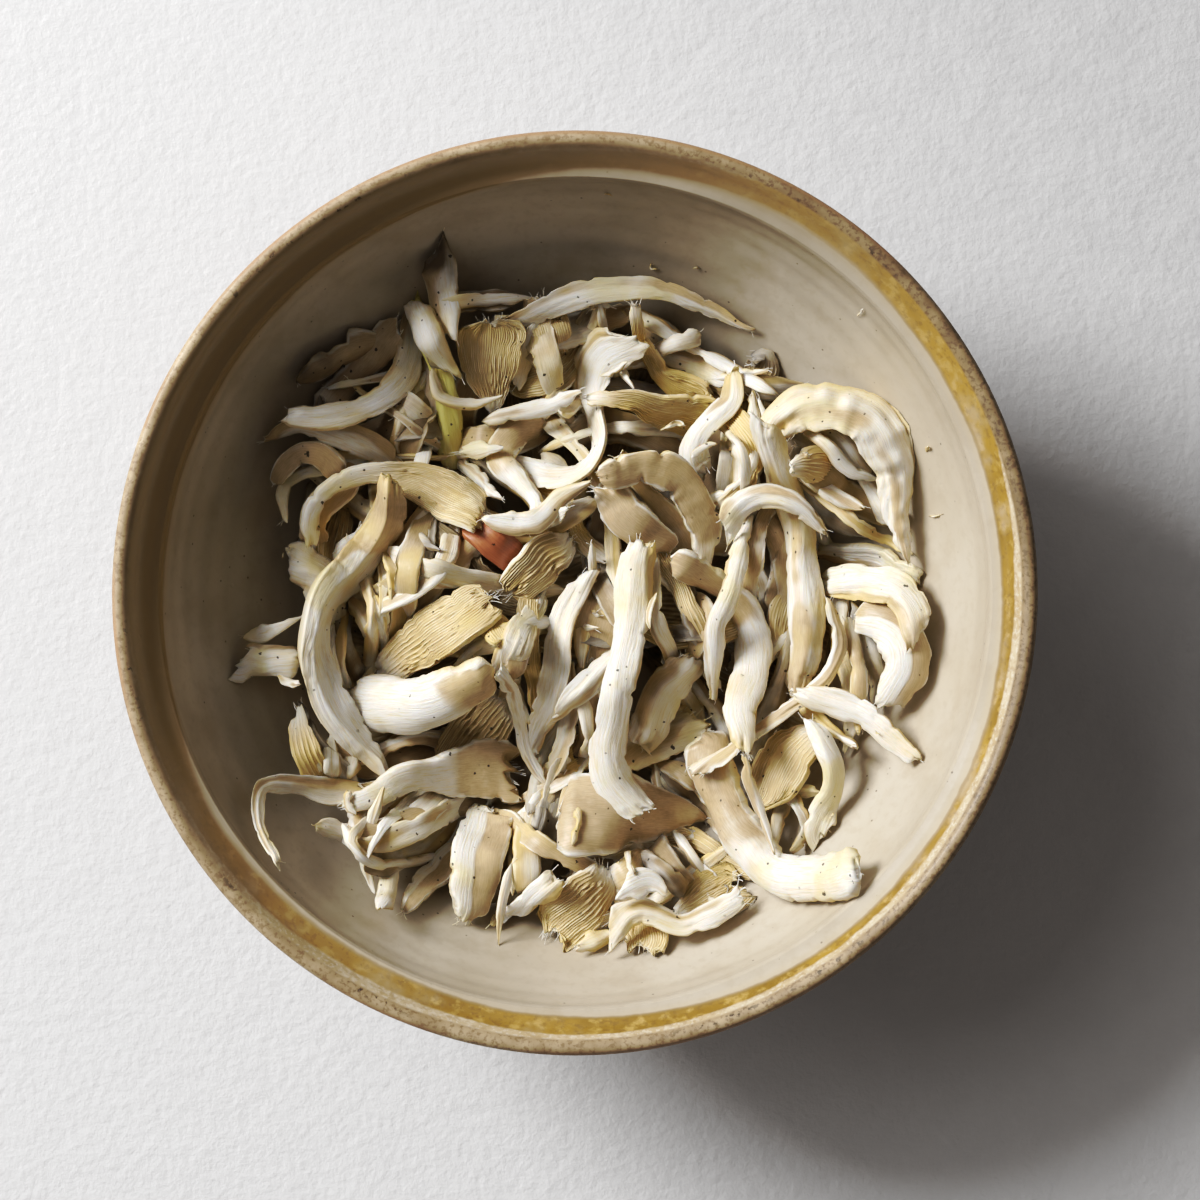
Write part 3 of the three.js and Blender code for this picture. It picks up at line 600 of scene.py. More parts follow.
def mushroom_finish(name, roughness):
    """Flesh, skin and gills of an oyster mushroom, told apart by the numbers on the vertices."""
    made, shader, shade = new_finish(name)
    place = shade.node("ShaderNodeTexCoord", out=3)
    flow = shade.node("ShaderNodeUVMap", {"uv_map": "flow"})
    threads = flow.noise(4, 4, (0.35, 5, 1), 0.6)
    hairs = flow.noise(9, 3, (0.4, 5, 1), 0.6)
    cloudy, blotchy = place.noise(85, 4), place.noise(230, 4)
    skin, gill, crest = kept(shade, "skin"), kept(shade, "gill"), kept(shade, "crest")
    warm, wilt, odd = kept(shade, "warm"), kept(shade, "wilt"), kept(shade, "odd")
    clean = threads.step(0.28, 0.56) * 0.65 + cloudy.step(0.3, 0.6) * 0.35
    white = clean.mix((0.76, 0.635, 0.37), (0.87, 0.86, 0.825))
    stained = (place.noise(55, 4) + threads * 0.25).step(0.66, 0.8) * 0.6
    white = stained.mix(white, (0.76, 0.64, 0.28))
    white = (hairs.step(0.42, 0.3) * 0.4).mix(white, (0.60, 0.47, 0.26))
    faded = cloudy.step(0.3, 0.7) * 0.65 + hairs.step(0.35, 0.65) * 0.35
    hide = faded.mix((0.38, 0.275, 0.155), (0.67, 0.52, 0.325))
    hide = (blotchy.step(0.55, 0.75) * 0.4).mix(hide, (0.71, 0.58, 0.39))
    # Painted shade: the gills darken from their crests down into the gaps between them.
    shaded_blades = crest.step(0.05, 0.8).mix((0.58, 0.435, 0.22), (0.85, 0.735, 0.48))
    shaded_blades = (cloudy.step(0.45, 0.75) * 0.4).mix(shaded_blades, (0.48, 0.33, 0.15))
    colour = (skin + (threads - 0.5) * 0.9).step(0.05, 0.95).mix(white, hide)
    colour = gill.mix(colour, shaded_blades)
    # The warm tint: real yellowing, and painted shade on the undersides of the pieces.
    colour = ((warm + (cloudy - 0.5) * 0.9).step(0.15, 1.0) * 0.8).mix(colour, (0.72, 0.53, 0.18))
    colour = ((wilt + (cloudy - 0.5) * 0.8).step(0.25, 1.0) * 0.92).mix(colour, (0.085, 0.055, 0.03))
    colour = odd.step(0.1, 0.9).mix(colour, threads.mix((0.68, 0.60, 0.12), (0.87, 0.81, 0.38)))
    colour = odd.step(-0.1, -0.9).mix(colour, threads.mix((0.22, 0.07, 0.03), (0.50, 0.20, 0.09)))
    soil = (place.spots(260) + (place.noise(900, 2) - 0.5) * 0.3).step(0.10, 0.06)
    soil = soil * place.noise(55, 2).step(0.42, 0.52)
    clods = (place.spots(130) + (place.noise(1100, 3) - 0.5) * 0.3).step(0.075, 0.055)
    soil = soil + clods * place.noise(35, 2).step(0.48, 0.54)
    colour = (soil * 0.9).mix(colour, (0.02, 0.014, 0.009))
    feed(shader, "Base Color", colour)
    feed(shader, "Roughness", roughness + threads * 0.2 - skin * 0.1)
    feed(shader, "Coat Weight", blotchy.step(0.5, 0.7) * 0.2)
    relief = (threads + hairs * 0.6) * (1 - skin * 0.88) + place.noise(800, 2) * 0.3
    feed(shader, "Normal", relief.bump(0.6, 0.4 * MM))
    shader.inputs["Subsurface Weight"].default_value = 0.15
    shader.inputs["Subsurface Radius"].default_value = (1.0, 0.62, 0.28)
    shader.inputs["Subsurface Scale"].default_value = 0.0012
    shader.inputs["Coat Roughness"].default_value = 0.25
    return made


cap_skin = mushroom_finish("cap_skin", 0.42)
gill_flesh = mushroom_finish("gills", 0.55)
BASE_CAPS, GILLS_UP = range(1, 8), (2, 4, 6, 7)
# The whole caps are wilted dark, partly as painted shade for the gaps where they show.
BASE_LOOK = {
    "narrow": 0.7, "inwards": 0.85, "sunk": 9, "roll": 0, "twist": 0, "gutter": 0,
    "step": 2, "skin_points": 10, "gill_cut": 3, "gill_gap": 1.4, "gill_deep": 0.8,
    "tan": (0.3, 0.9, 0.9), "wilt": (0.6, 0.7, 0.6),
}
for number in BASE_CAPS:
    finish, slot = (gill_flesh, "gills") if number in GILLS_UP else (cap_skin, "cap_skin")
    mushroom_piece(f"base_cap_{number}", GILLED_SIDES, finish, slot, BASE_LOOK, f"whole_cap_{number}")
base_points, landing = landing, []

# Torn stems, thick and solid, white inside with a cream outside. Some keep a tan end where the cap began.
# They were pulled apart by hand along the grain, and each lies loose over the pieces below it.

flesh = mushroom_finish("flesh", 0.5)
STEM_LOOKS = {
    1: {"wide": (8, 9, 9, 10), "warm": (0.2, 0.1, 0.1)},
    2: {"wide": (10, 12, 12, 11), "wilt": (0.1, 0, 0)},
    3: {"wide": (5, 7, 8, 9, 9), "tan": (-0.2, -0.1, 0.1, 0.9), "wilt": (0, 0, 0.1, 0.6)},
    4: {"wide": (9, 11, 11, 10), "warm": (0.3, 0.2, 0.3), "tan": (0.1, 0.1, 0.5)},
    5: {"wide": (7, 8, 7)},
    6: {"wide": (6, 7, 7, 8), "warm": (0, 0.1, 0.3)},
    7: {"wide": (8, 10, 14, 14, 13, 11, 8, 3), "tan": (1.3, 0.9, -0.3, -0.3, -0.3, -0.3), "blunt": 6,
        "ragged": (0.6, 1)},
    8: {"wide": (11, 11, 10), "warm": (0.3, 0.2, 0.3)},
    9: {"wide": (10, 14, 15, 13, 8, 2), "warm": (0.35, 0.4, 0.3, 0.1), "knobs": 0.7, "fibre": 0.3,
        "blunt": 5, "gutter": 0.1},
    10: {"wide": (8, 10, 9, 10, 11, 8), "tan": (-0.1, 0.1, 0, 0.2, 0.9), "warm": (0.2, 0.4, 0.2, 0.1)},
}
for number, look in STEM_LOOKS.items():
    node = f"stem_piece_{number:02d}"
    mushroom_piece(node, PLAIN_SIDES, flesh, "flesh", look, f"torn_stem_{number:02d}")

# Thin strips of flesh pulled off along the grain, frayed at their ends. One has turned yellow-green.
# They bent and twisted as they fell, and lie loose among the stems and the caps.

STRIP_LOOKS = {
    1: {"wide": (6, 8, 6, 3), "tan": (0.2, 0.2, 0.6)},
    2: {"wide": (6, 8, 6), "tan": (0.5, 0.2, 0)},
    3: {"wide": (8, 8, 7, 6, 2), "tan": (0, 0, 0.1, 0.2)},
    4: {"wide": (6, 7, 6, 7), "odd": (0.6, 0.9, 1.0, 1.0)},
    5: {"wide": (9, 8, 6, 4, 3), "tan": (0.3, 0, 0)},
    6: {"wide": (11, 14, 12, 12, 12, 9, 4)},
    7: {"wide": (8, 9, 7, 8, 8), "tan": (-0.2, -0.2, 0.1, 0.6), "warm": (0, 0, 0.2, 0.7)},
    8: {"wide": (5, 8, 9, 8, 5), "tan": (0.6, 0.1, 0, 0)},
    9: {"wide": (5, 8, 6)},
    10: {"wide": (6, 6, 5, 4, 2)},
    11: {"wide": (13, 14, 11, 5), "warm": (0.6, 0.4, 0.3), "ragged": (2.5, 2)},
    12: {"wide": (9, 10, 9, 9, 10, 11, 9), "tan": (0.7, 0.1, 0, 0, 0), "warm": (0.4, 0.1, 0, 0)},
    13: {"wide": (8, 6, 5, 4, 4, 3), "tan": (0.1, 0.3, 0.5, 0.5)},
    14: {"wide": (3, 6, 6, 3)},
    15: {"wide": (10, 7, 6, 3)},
    16: {"wide": (6, 8, 7, 5)},
    17: {"wide": (9, 8, 7, 7, 6), "warm": (0.4, 0.3, 0.1)},
}
for number, look in STRIP_LOOKS.items():
    node = f"flesh_strip_{number:02d}"
    mushroom_piece(node, PLAIN_SIDES, flesh, "flesh", {"thick": 0.8, **look}, f"torn_strip_{number:02d}")

# Torn pieces of cap with the skin up: a satin grey-tan skin over white flesh, which shows where it is torn.
# Some keep a length of stem, a few have wilted and one is orange. Each lies loose, with its gills below.

CAP_LOOKS = {
    1: {"wide": (5, 9, 8, 4), "wilt": (0.35, 0.45, 0.65), "wrinkle": 2.5, "tear": 1},
    2: {"wide": (7, 6, 4), "wilt": (0.2, 0.2, 0.4)},
    3: {"wide": (8, 9, 7), "odd": (-1, -1, -1)},
    4: {"wide": (8, 12, 12, 8), "skin_from": 0.0},
    5: {"wide": (9, 11, 8)},
    6: {"wide": (4, 7, 9), "skin_from": -0.4},
    7: {"wide": (10, 14, 13), "skin_from": -0.1},
    8: {"wide": (13, 15, 13, 11), "tan": (-0.6, -0.5, 0.3, 1)},
    9: {"wide": (4, 7, 9, 15, 17), "tan": (-0.5, -0.4, 0.2, 0.9, 1), "ragged": (1, 3)},
    10: {"wide": (3, 4, 6, 8, 8, 7), "tan": (-0.3, 0, 0.5, 0.9, 1)},
    11: {"wide": (3, 14, 21, 24)},
    12: {"wide": (13, 12, 11, 12, 12), "tan": (-0.6, -0.4, 0.4, 1, 1), "ragged": (0.5, 1)},
    13: {"wide": (5, 9, 10, 9, 7), "wilt": (0.3, -0.3, -0.2), "tear": 0.8, "wrinkle": 1.4,
         "ragged": (2.5, 1)},
    14: {"wide": (6, 9, 10, 9, 8, 9), "tan": (-0.2, -0.1, 0.1, 0.6, 1, 1), "warm": (0.5, 0.3, 0.1, 0)},
}
for number, look in CAP_LOOKS.items():
    node = f"cap_piece_{number:02d}"
    look = {"tan": (0.6, 1, 1), "ragged": (1.5, 0.4), **look}
    mushroom_piece(node, GILLED_SIDES, cap_skin, "cap_skin", look, f"torn_cap_{number:02d}")

# Torn pieces of cap with the gills up: thin blades run out from the stem, cream to brown, frayed at the
# margin, and painted shade darkens them down between the blades. They dropped upside down, and lie loose
# like the rest.

GILL_LOOKS = {
    1: {"wide": (4, 5, 11), "warm": (0.4, 0.6, 0.6)},
    2: {"wide": (6, 14, 20), "warm": (0, 0.2, 0.4)},
    3: {"wide": (9, 12, 10)},
    4: {"wide": (6, 14, 18), "wilt": (0.3, 0.35, 0.4), "warm": (0.3, 0.3, 0.3)},
    5: {"wide": (11, 15, 15), "warm": (0, 0.1, 0.6)},
    6: {"wide": (5, 10, 12), "warm": (0.2, 0.4, 0.5)},
    7: {"wide": (10, 15, 14), "wilt": (0.3, 0.3, 0.3), "warm": (0.3, 0.3, 0.3)},
    8: {"wide": (12, 15, 12), "wilt": (0.25, 0.25, 0.25)},
    9: {"wide": (8, 14, 13), "warm": (0.3, 0.3, 0.3)},
    10: {"wide": (5, 5, 6, 12, 16), "wilt": (0, 0.1, 0.25), "gills_from": 0.4},
    11: {"wide": (4, 6, 11, 16), "warm": (0.4, 0.7, 0.8)},
}
for number, look in GILL_LOOKS.items():
    node = f"gill_piece_{number:02d}"
    look = {"tan": (0.3, 0.8, 0.9), "gutter": 0, "ragged": (1.5, 2.2), **look}
    mushroom_piece(node, GILLED_SIDES, gill_flesh, "gills", look, f"gilled_cap_{number:02d}")

# Small bits torn off the same mushrooms: shreds that lie over the heap, and scraps that fill the gaps in
# it, propped on what is below them. They stand, with the whole caps, for the bottom of the heap.

GRID = 116  # half the width of the height maps below, whose cells are 1 mm
lines = np.arange(-GRID, GRID + 1)
from_middle = np.hypot(*np.meshgrid(lines, lines, indexing="ij"))


def cells_of(points):
    """The cells of the height maps that the points stand over."""
    at = np.clip(np.rint(points[..., :2]).astype(int) + GRID, 0, 2 * GRID)
    return at[..., 0], at[..., 1]


def height_map(pieces, start, pick):
    """Highest or lowest point of the pieces over each cell."""
    found = np.full(from_middle.shape, float(start))
    for points in pieces:
        pick.at(found, cells_of(points), points[..., 2])
    return found


def spread(field, times, pick):
    """Each cell takes the highest, lowest or mean of its neighbourhood."""
    for _ in range(times):
        for axis in (0, 1):
            field = pick(field, pick(np.roll(field, 1, axis), np.roll(field, -1, axis)))
    return field


def mean(a, b):
    """Half way between, for spread."""
    return (a + b) / 2


bowl_inside = np.interp(from_middle, inner[:, 0], inner[:, 1], right=BOWL_HEIGHT)
lying = np.maximum(bowl_inside, spread(height_map(base_points, 0, np.maximum), 2, np.maximum))
heap_top = spread(height_map(landing, 0, np.maximum), 1, np.maximum)
heap_under = spread(height_map(landing, 999, np.minimum), 1, np.minimum)
covered = heap_top > 0
level = spread(spread(np.maximum(heap_top, lying), 6, np.maximum), 14, mean)
bits = {"strip": [], "cap": [], "gill": []}
BIT_FINISH = {"strip": (flesh, "flesh"), "cap": (cap_skin, "cap_skin"), "gill": (gill_flesh, "gills")}
BIT_LOOK = {"step": 1.2, "columns": 20, "skin_points": 9, "start": 5, "blunt": 7, "taper": 0.3}
GILLS_UNDER = {"gill_gap": 1.3, "gill_cut": 3}  # where the skin is up
SETTLING, SAG = 400, 0.04  # rounds in which a bit drapes over the heap, and its sag in each, in mm


def lay_bit(kind, route, wide, thick, drop, rng, look):
    """Lays a bit over the heap where drop is None, or else that far below the heap's level, in a gap."""
    plan = smooth_through(route, 8)
    ahead = unit(np.gradient(plan, axis=0))
    side = np.stack([ahead[:, 1], -ahead[:, 0]], 1)
    probes = plan[:, None] + side[:, None] * (np.linspace(-0.4, 0.4, 5) * wide)[None, :, None]
    at = cells_of(probes)
    if drop is None:
        need = np.maximum(lying, heap_top)[at].max(1) + thick / 2
        height = np.full(len(plan), need.max())
        for _ in range(SETTLING):
            ends = np.concatenate([[2 * height[0] - height[1]], height, [2 * height[-1] - height[-2]]])
            height = np.maximum(need, (ends[:-2] + ends[2:]) / 2 - SAG)
    else:
        low = lying[at].max(1) + thick / 2
        high = heap_under[at].min(1) - thick / 2
        lean = np.linspace(-1, 1, len(plan)) * rng.uniform(-6, 6)
        high = np.maximum(high, bowl_inside[at].max(1) + thick / 2)
        height = np.minimum(np.maximum(low, level[at].mean(1) - drop + lean), high)
        for _ in range(6):
            height[1:-1] = (height[:-2] + 2 * height[1:-1] + height[2:]) / 4
    middle = np.concatenate([plan, height[:, None]], 1)
    across = np.concatenate([side * (-1 if kind == "gill" else 1), np.zeros((len(plan), 1))], 1)
    flat = np.ones(len(plan))
    spine = (middle, across, flat * wide, flat * thick / 2, flat * thick / -2)
    under = GILLS_UNDER if kind == "cap" else {}
    made = torn_piece(spine, rng, {**BIT_LOOK, **under, **look}, kind != "strip")
    bits[kind].append(made)
    np.maximum.at(lying, cells_of(made[0]), made[0][:, 2])
    return made[0]


# Kind, widths along it, route in plan, and how far below the level of the heap it lies, or None if over it
SHREDS = [
    ("strip", (4, 4, 3), [(-37, 57), (-35, 51), (-27, 49), (-20, 51)], None, {"warm": (0.4, 0.3)}),
    ("strip", (4, 5, 5), [(-24, 45), (-11, 48), (2, 52)], None, {}),
    ("strip", (4, 4, 3), [(-50, -51), (-54, -64), (-54, -71), (-52, -78)], None, {}),
    ("strip", (3, 3, 2), [(-16, -69), (-19, -79), (-20, -90)], None, {}),
    ("strip", (3, 3, 2), [(43, -42), (46, -53), (51, -66)], None, {"tan": (0.5, 0.3)}),
    ("strip", (8, 9, 6), [(11, -78), (18, -74), (24, -77)], None, {}),
    ("strip", (6, 7, 6, 3), [(-23, 19), (-11, 18), (-3, 25), (4, 29)], None, {"tan": (0.2, 0.5)}),
    ("strip", (5, 5, 4), [(-31, 36), (-25, 37), (-19, 38)], None, {"ragged": (3, 1)}),
    ("gill", (5, 9, 10), [(55, 32), (62, 33), (67, 32)], None, {"warm": (0.3, 0.3)}),
    ("strip", (8, 10, 10, 7), [(-36, 88), (-35, 82), (-34, 75), (-33, 67)], None,
     {"wilt": (1.1, 0.3, 0, 0), "taper": 0.8, "ragged": (2.5, 2), "tan": (0.6, 0.3, 0.1)}),
    ("strip", (6, 8, 8, 7), [(-42, 75), (-39, 69), (-36, 62), (-34, 58)], None,
     {"odd": (0, 0.1, 0.4), "taper": 0.9, "ragged": (0.8, 2)}),
    ("strip", (5, 5, 3), [(-86, -11), (-78, -9), (-71, -6)], 5, {}),
    ("strip", (5, 6, 6), [(-66, -59), (-57, -63), (-48, -65)], 4, {}),
    ("strip", (6, 6, 5), [(-48, -67), (-48, -73), (-49, -80)], 4, {}),
    ("strip", (7, 9, 8), [(-47, -63), (-39, -57), (-32, -49)], 4, {"warm": (0.3, 0.2)}),
    ("strip", (7, 7, 5), [(0, -91), (6, -89), (11, -87)], 4, {"warm": (0.5, 0.5)}),
    ("strip", (5, 7, 6), [(-52, 2), (-41, 6), (-31, 1)], 3, {}),
    ("cap", (7, 9, 8), [(29, 2), (32, -7), (28, -16)], 5, {"tan": (0.6, 1)}),
    ("gill", (4, 9, 11), [(-4, 57), (-6, 65), (-8, 74)], 3, {"ragged": (1, 3)}),
    ("strip", (6, 6, 6), [(-39, 42), (-40, 36), (-42, 29)], 5, {}),
    ("cap", (6, 8, 8), [(-47, 43), (-42, 49), (-37, 53)], 5, {"tan": (0.8, 1), "warm": (0.5, 0.5)}),
    ("strip", (5, 6, 4), [(-73, -37), (-69, -42), (-65, -49)], 6, {"warm": (0.3, 0.3)}),
    ("strip", (5, 5, 4), [(-63, -37), (-63, -46), (-65, -51)], 4, {}),
    ("strip", (6, 6, 5), [(-58, -35), (-58, -43), (-59, -49)], 4, {"warm": (0.3, 0.4)}),
    ("gill", (6, 10, 10), [(54, -15), (55, -7), (57, 0)], 5, {"wilt": (0.3, 0.3)}),
    ("cap", (9, 13, 12), [(4, -17), (6, -8), (9, 1)], 6, {"tan": (1, 1), "wilt": (0.3, 0.2)}),
    ("cap", (5, 6, 5), [(-16, -22), (-14, -12), (-11, -2)], 4, {"tan": (0.8, 0.8)}),
    ("gill", (6, 8, 8), [(-27, -12), (-22, -8), (-18, -12)], 3, {"warm": (0.5, 0.5)}),
    ("strip", (4, 4, 3), [(-50, 1), (-49, -7), (-53, -16), (-55, -19)], 3, {}),
    ("strip", (6, 6, 5), [(-64, 8), (-58, 12), (-53, 17)], 4, {"ragged": (2, 2)}),
    ("gill", (8, 10, 9), [(6, -71), (19, -67), (33, -65)], 5, {"wilt": (0.3, 0.4)}),
    ("strip", (7, 8, 6), [(20, -46), (27, -51), (32, -57)], 4, {"tan": (0.3, 0.3)}),
    ("gill", (6, 9, 10), [(-9, -51), (-3, -44), (6, -40)], 3, {"warm": (0.5, 0.5), "ragged": (2, 3)}),
]
rng = np.random.default_rng(41)
for kind, wide, route, drop, look in SHREDS:
    thick = min(3.2, 0.5 * max(wide)) if kind == "strip" else 3
    lay_bit(kind, route, max(wide), thick, drop, rng, {"wide": wide, **look})

# Then scraps close the gaps that are left, the widest gap first: dark, wilted ones low down, whose darkness
# is partly painted shade in the gaps, and pale ones over them.
# kinds has the shares of strips, caps and gills, and the other pairs are ranges.
SCRAP_LAYERS = [
    {"most": 60, "drop": (13, 19), "wide": (6, 10), "reach": (14, 24), "wilt": (0.3, 0.8),
     "kinds": (0.48, 0.42, 0.10)},
    {"most": 70, "drop": (4, 11), "wide": (4, 7), "reach": (12, 26), "wilt": (-0.4, 0.1),
     "kinds": (0.72, 0.20, 0.08)},
]
LEAST_ROOM = 0.2  # of the cells around, where a scrap still goes in
HEAP_EDGE = (88, 85, 75, 75, 83, 83, 72, 80, 88, 88, 89, 81)  # how far the heap reaches, every 30 degrees


def heap_edge(x, y):
    """How far the heap reaches on the way to a place."""
    return np.interp(np.degrees(np.arctan2(y, x)) % 360, np.arange(13) * 30, HEAP_EDGE + HEAP_EDGE[:1])


in_heap = from_middle < heap_edge(*np.meshgrid(lines, lines, indexing="ij")) - 2
for layer in SCRAP_LAYERS:
    bare = in_heap & ~covered
    for _ in range(layer["most"]):
        room = spread(bare.astype(float), 5, mean) * bare
        if room.max() < LEAST_ROOM:
            break
        start = np.array(np.unravel_index(np.argmax(room), room.shape)) - GRID
        kind = str(rng.choice(["strip", "cap", "gill"], p=layer["kinds"]))
        reach = rng.uniform(*layer["reach"])
        turns = rng.uniform(0, math.pi) + np.arange(6) * math.pi / 6
        ways = np.stack([np.cos(turns), np.sin(turns)], 1)
        along = np.linspace(-reach, reach, 15)[:, None]
        clear = [room[cells_of(start + way * along)].mean() for way in ways]
        way = ways[int(np.argmax(clear))] * rng.choice([-1, 1])
        side = np.array([way[1], -way[0]])
        bow, hook = side * rng.uniform(-6, 6), side * rng.uniform(-7, 7)
        ahead = way * reach
        bowed = start + bow
        route = np.array([start - ahead, bowed - ahead / 3, bowed + ahead / 3, start + ahead + hook])
        route *= np.minimum(1, heap_edge(*route.T) / np.maximum(1, np.hypot(*route.T)))[:, None]
        wide = rng.uniform(*layer["wide"]) * (1 if kind == "strip" else 1.3)
        look = {
            "wide": wide * rng.uniform(0.5, 1.05, 4),
            "wilt": rng.uniform(*layer["wilt"], 3),
            "warm": rng.uniform(0, 0.6, 3),
            "tan": rng.uniform(0.4, 1.1, 3) if kind == "cap" else rng.uniform(-0.3, 0.6, 3),
        }
        thick, drop = rng.uniform(1.6, 3.0), rng.uniform(*layer["drop"])
        points = lay_bit(kind, route, wide, thick, drop, rng, look)
        filled = np.zeros_like(bare)
        filled[cells_of(points)] = True
        filled[cells_of(np.array([start]))] = True
        bare &= ~spread(filled, 1, np.maximum)

# Crumbs and torn slivers lie over the heap, and a few have dropped on the bare wall
SLIVERS, SLIVER_REACH = 8, 78
CRUMBS = [
    (72, 71), (31, 84), (20, 85), (90, 37), (66, -57), (77, -36), (-46, 60), (-76, 10), (8, 101), (92, 20),
]
CRUMB_LOOK = {
    "step": 0.8, "columns": 14, "start": 2, "blunt": 2, "ragged": (0.8, 0.8), "frayed": 0, "tear": 0.2,
}
for number in range(SLIVERS + len(CRUMBS)):
    turn = rng.uniform(0, 2 * math.pi)
    if number < SLIVERS:
        start = np.array([math.cos(turn), math.sin(turn)]) * SLIVER_REACH * math.sqrt(rng.random())
        reach, wide = rng.uniform(2, 5), rng.uniform(2, 3.6)
    else:
        start = np.array(CRUMBS[number - SLIVERS], float)
        reach, wide = rng.uniform(0.6, 1.2), rng.uniform(0.7, 1.3)
    turn = rng.uniform(0, 2 * math.pi)
    way = np.array([math.cos(turn), math.sin(turn)]) * reach
    route = np.array([start - way, start + rng.uniform(-0.35, 0.35) * reach, start + way])
    look = {
        "wide": wide * rng.uniform(0.6, 1, 3),
        "warm": rng.uniform(0, 0.8, 3),
        "tan": rng.uniform(-0.3, 0.6, 3),
        **CRUMB_LOOK,
    }
    lay_bit("strip", route, wide, 0.35 * wide, None, rng, look)

for kind, pieces in bits.items():
    points, faces, numbers, flows = zip(*pieces)
    starts = np.cumsum([0] + [len(some) for some in points]).tolist()
    faces = [tuple(i + start for i in face) for start, some in zip(starts, faces) for face in some]
    numbers = {key: np.concatenate([some[key] for some in numbers]) for key in numbers[0]}
    points, flow = np.concatenate(points), np.concatenate(flows)
    made = new_piece(f"small_{kind}_bits", points, faces, *BIT_FINISH[kind], numbers, flow)
    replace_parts(made, *[f"base_cap_{number}" for number in BASE_CAPS])

# Loose threads of flesh stand out where a piece was torn across its grain. Each is a thin bent taper with
# its root in a torn end, and one tree of nodes sets them all.

THREAD_RADIUS, THREAD_BEND, THREAD_SEED = 0.09 * MM, 0.6 * MM, 5


def thread_tree():
    """The tree of nodes, and its inputs by name."""
    tree = bpy.data.node_groups.new("torn_threads", "GeometryNodeTree")
    sockets = {"Roots": "Geometry", "Radius": "Float", "Bend": "Float", "Seed": "Int", "Finish": "Material"}
    for label, kind in sockets.items():
        made = tree.interface.new_socket(label, in_out="INPUT", socket_type=f"NodeSocket{kind}")
        sockets[label] = made.identifier
    tree.interface.new_socket("Threads", in_out="OUTPUT", socket_type="NodeSocketGeometry")
    start = Shade(tree)
    inputs = tree.nodes.new("NodeGroupInput")
    given = {label: Shade(tree, inputs.outputs[label]) for label in sockets}
    line = start.node("GeometryNodeCurvePrimitiveLine", None, {"End": (0, 0, 1)})
    line = start.node("GeometryNodeResampleCurve", None, {"Curve": line, "Count": 6})
    share = start.node("GeometryNodeSplineParameter")
    aside = start.node("ShaderNodeCombineXYZ", None, {0: given["Bend"] * share * share})
    line = start.node("GeometryNodeSetPosition", None, {"Geometry": line, "Offset": aside})
    line = start.node("GeometryNodeSetCurveRadius", None, {"Curve": line, "Radius": 1 - share * 0.8})
    ring = start.node("GeometryNodeCurvePrimitiveCircle", None, {"Resolution": 4, "Radius": given["Radius"]})
    drawn = {"Curve": line, "Profile Curve": ring, "Fill Caps": True}
    thread = start.node("GeometryNodeCurveToMesh", None, drawn)
    pull = start.node("GeometryNodeInputNamedAttribute", {"data_type": "FLOAT_VECTOR"}, {"Name": "pull"})
    long = start.node("ShaderNodeVectorMath", {"operation": "LENGTH"}, {0: pull}, out=1)
    any_turn = {"Max": (6.3, 6.3, 6.3), "Seed": given["Seed"]}
    spin = start.node("FunctionNodeRandomValue", {"data_type": "FLOAT_VECTOR"}, any_turn)
    spin = start.node("FunctionNodeEulerToRotation", None, {0: spin})
    turned = {"Rotation": spin, "Vector": pull}
    turned = start.node("FunctionNodeAlignRotationToVector", {"axis": "Z"}, turned)
    stout = start.node("FunctionNodeRandomValue", None, {2: 0.4, 3: 1.4, "Seed": given["Seed"] + 1}, out=1)
    size = start.node("ShaderNodeCombineXYZ", None, {0: stout, 1: stout, 2: long})
    placed = {"Points": given["Roots"], "Instance": thread, "Rotation": turned, "Scale": size}
    threads = start.node("GeometryNodeInstanceOnPoints", None, placed)
    threads = start.node("GeometryNodeRealizeInstances", None, {"Geometry": threads})
    threads = start.node("GeometryNodeSetMaterial", None, {"Geometry": threads, "Material": given["Finish"]})
    tree.links.new(threads.socket, tree.nodes.new("NodeGroupOutput").inputs[0])
    return tree, sockets


roots = bpy.data.meshes.new("thread_roots")
roots.from_pydata(np.concatenate(torn_points) * MM, [], [])
pulls = (np.concatenate(torn_pulls) * MM).astype(np.float32)
roots.attributes.new("pull", "FLOAT_VECTOR", "POINT").data.foreach_set("vector", pulls.ravel())
root_object = bpy.data.objects.new("thread_roots", roots)
bpy.context.scene.collection.objects.link(root_object)
modifier = root_object.modifiers.new("threads", "NODES")
modifier.node_group, sockets = thread_tree()
thread_values = {"Radius": THREAD_RADIUS, "Bend": THREAD_BEND, "Seed": THREAD_SEED, "Finish": flesh}
for label, value in thread_values.items():
    modifier[sockets[label]] = value
evaluated = root_object.evaluated_get(bpy.context.evaluated_depsgraph_get())
thread_mesh = bpy.data.meshes.new_from_object(evaluated)
bpy.data.objects.remove(root_object)
thread_mesh.shade_smooth()
threads = bpy.data.objects.new("torn_threads", thread_mesh)
bpy.context.scene.collection.objects.link(threads)
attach(threads, "root")

# A pale plastered floor under the bowl, with one large soft light from the upper left, which has a bright
# middle, a weak fill from all around, and a camera straight above.

FLOOR_REACH = 4
floor_mesh = bpy.data.meshes.new("floor")
corners = [(-1, -1, 0), (1, -1, 0), (1, 1, 0), (-1, 1, 0)]
floor_mesh.from_pydata([tuple(FLOOR_REACH * c for c in corner) for corner in corners], [], [(0, 1, 2, 3)])
floor = bpy.data.objects.new("floor", floor_mesh)
bpy.context.scene.collection.objects.link(floor)
plaster, shader, shade = new_finish("floor")
place = shade.node("ShaderNodeTexCoord", out=3)
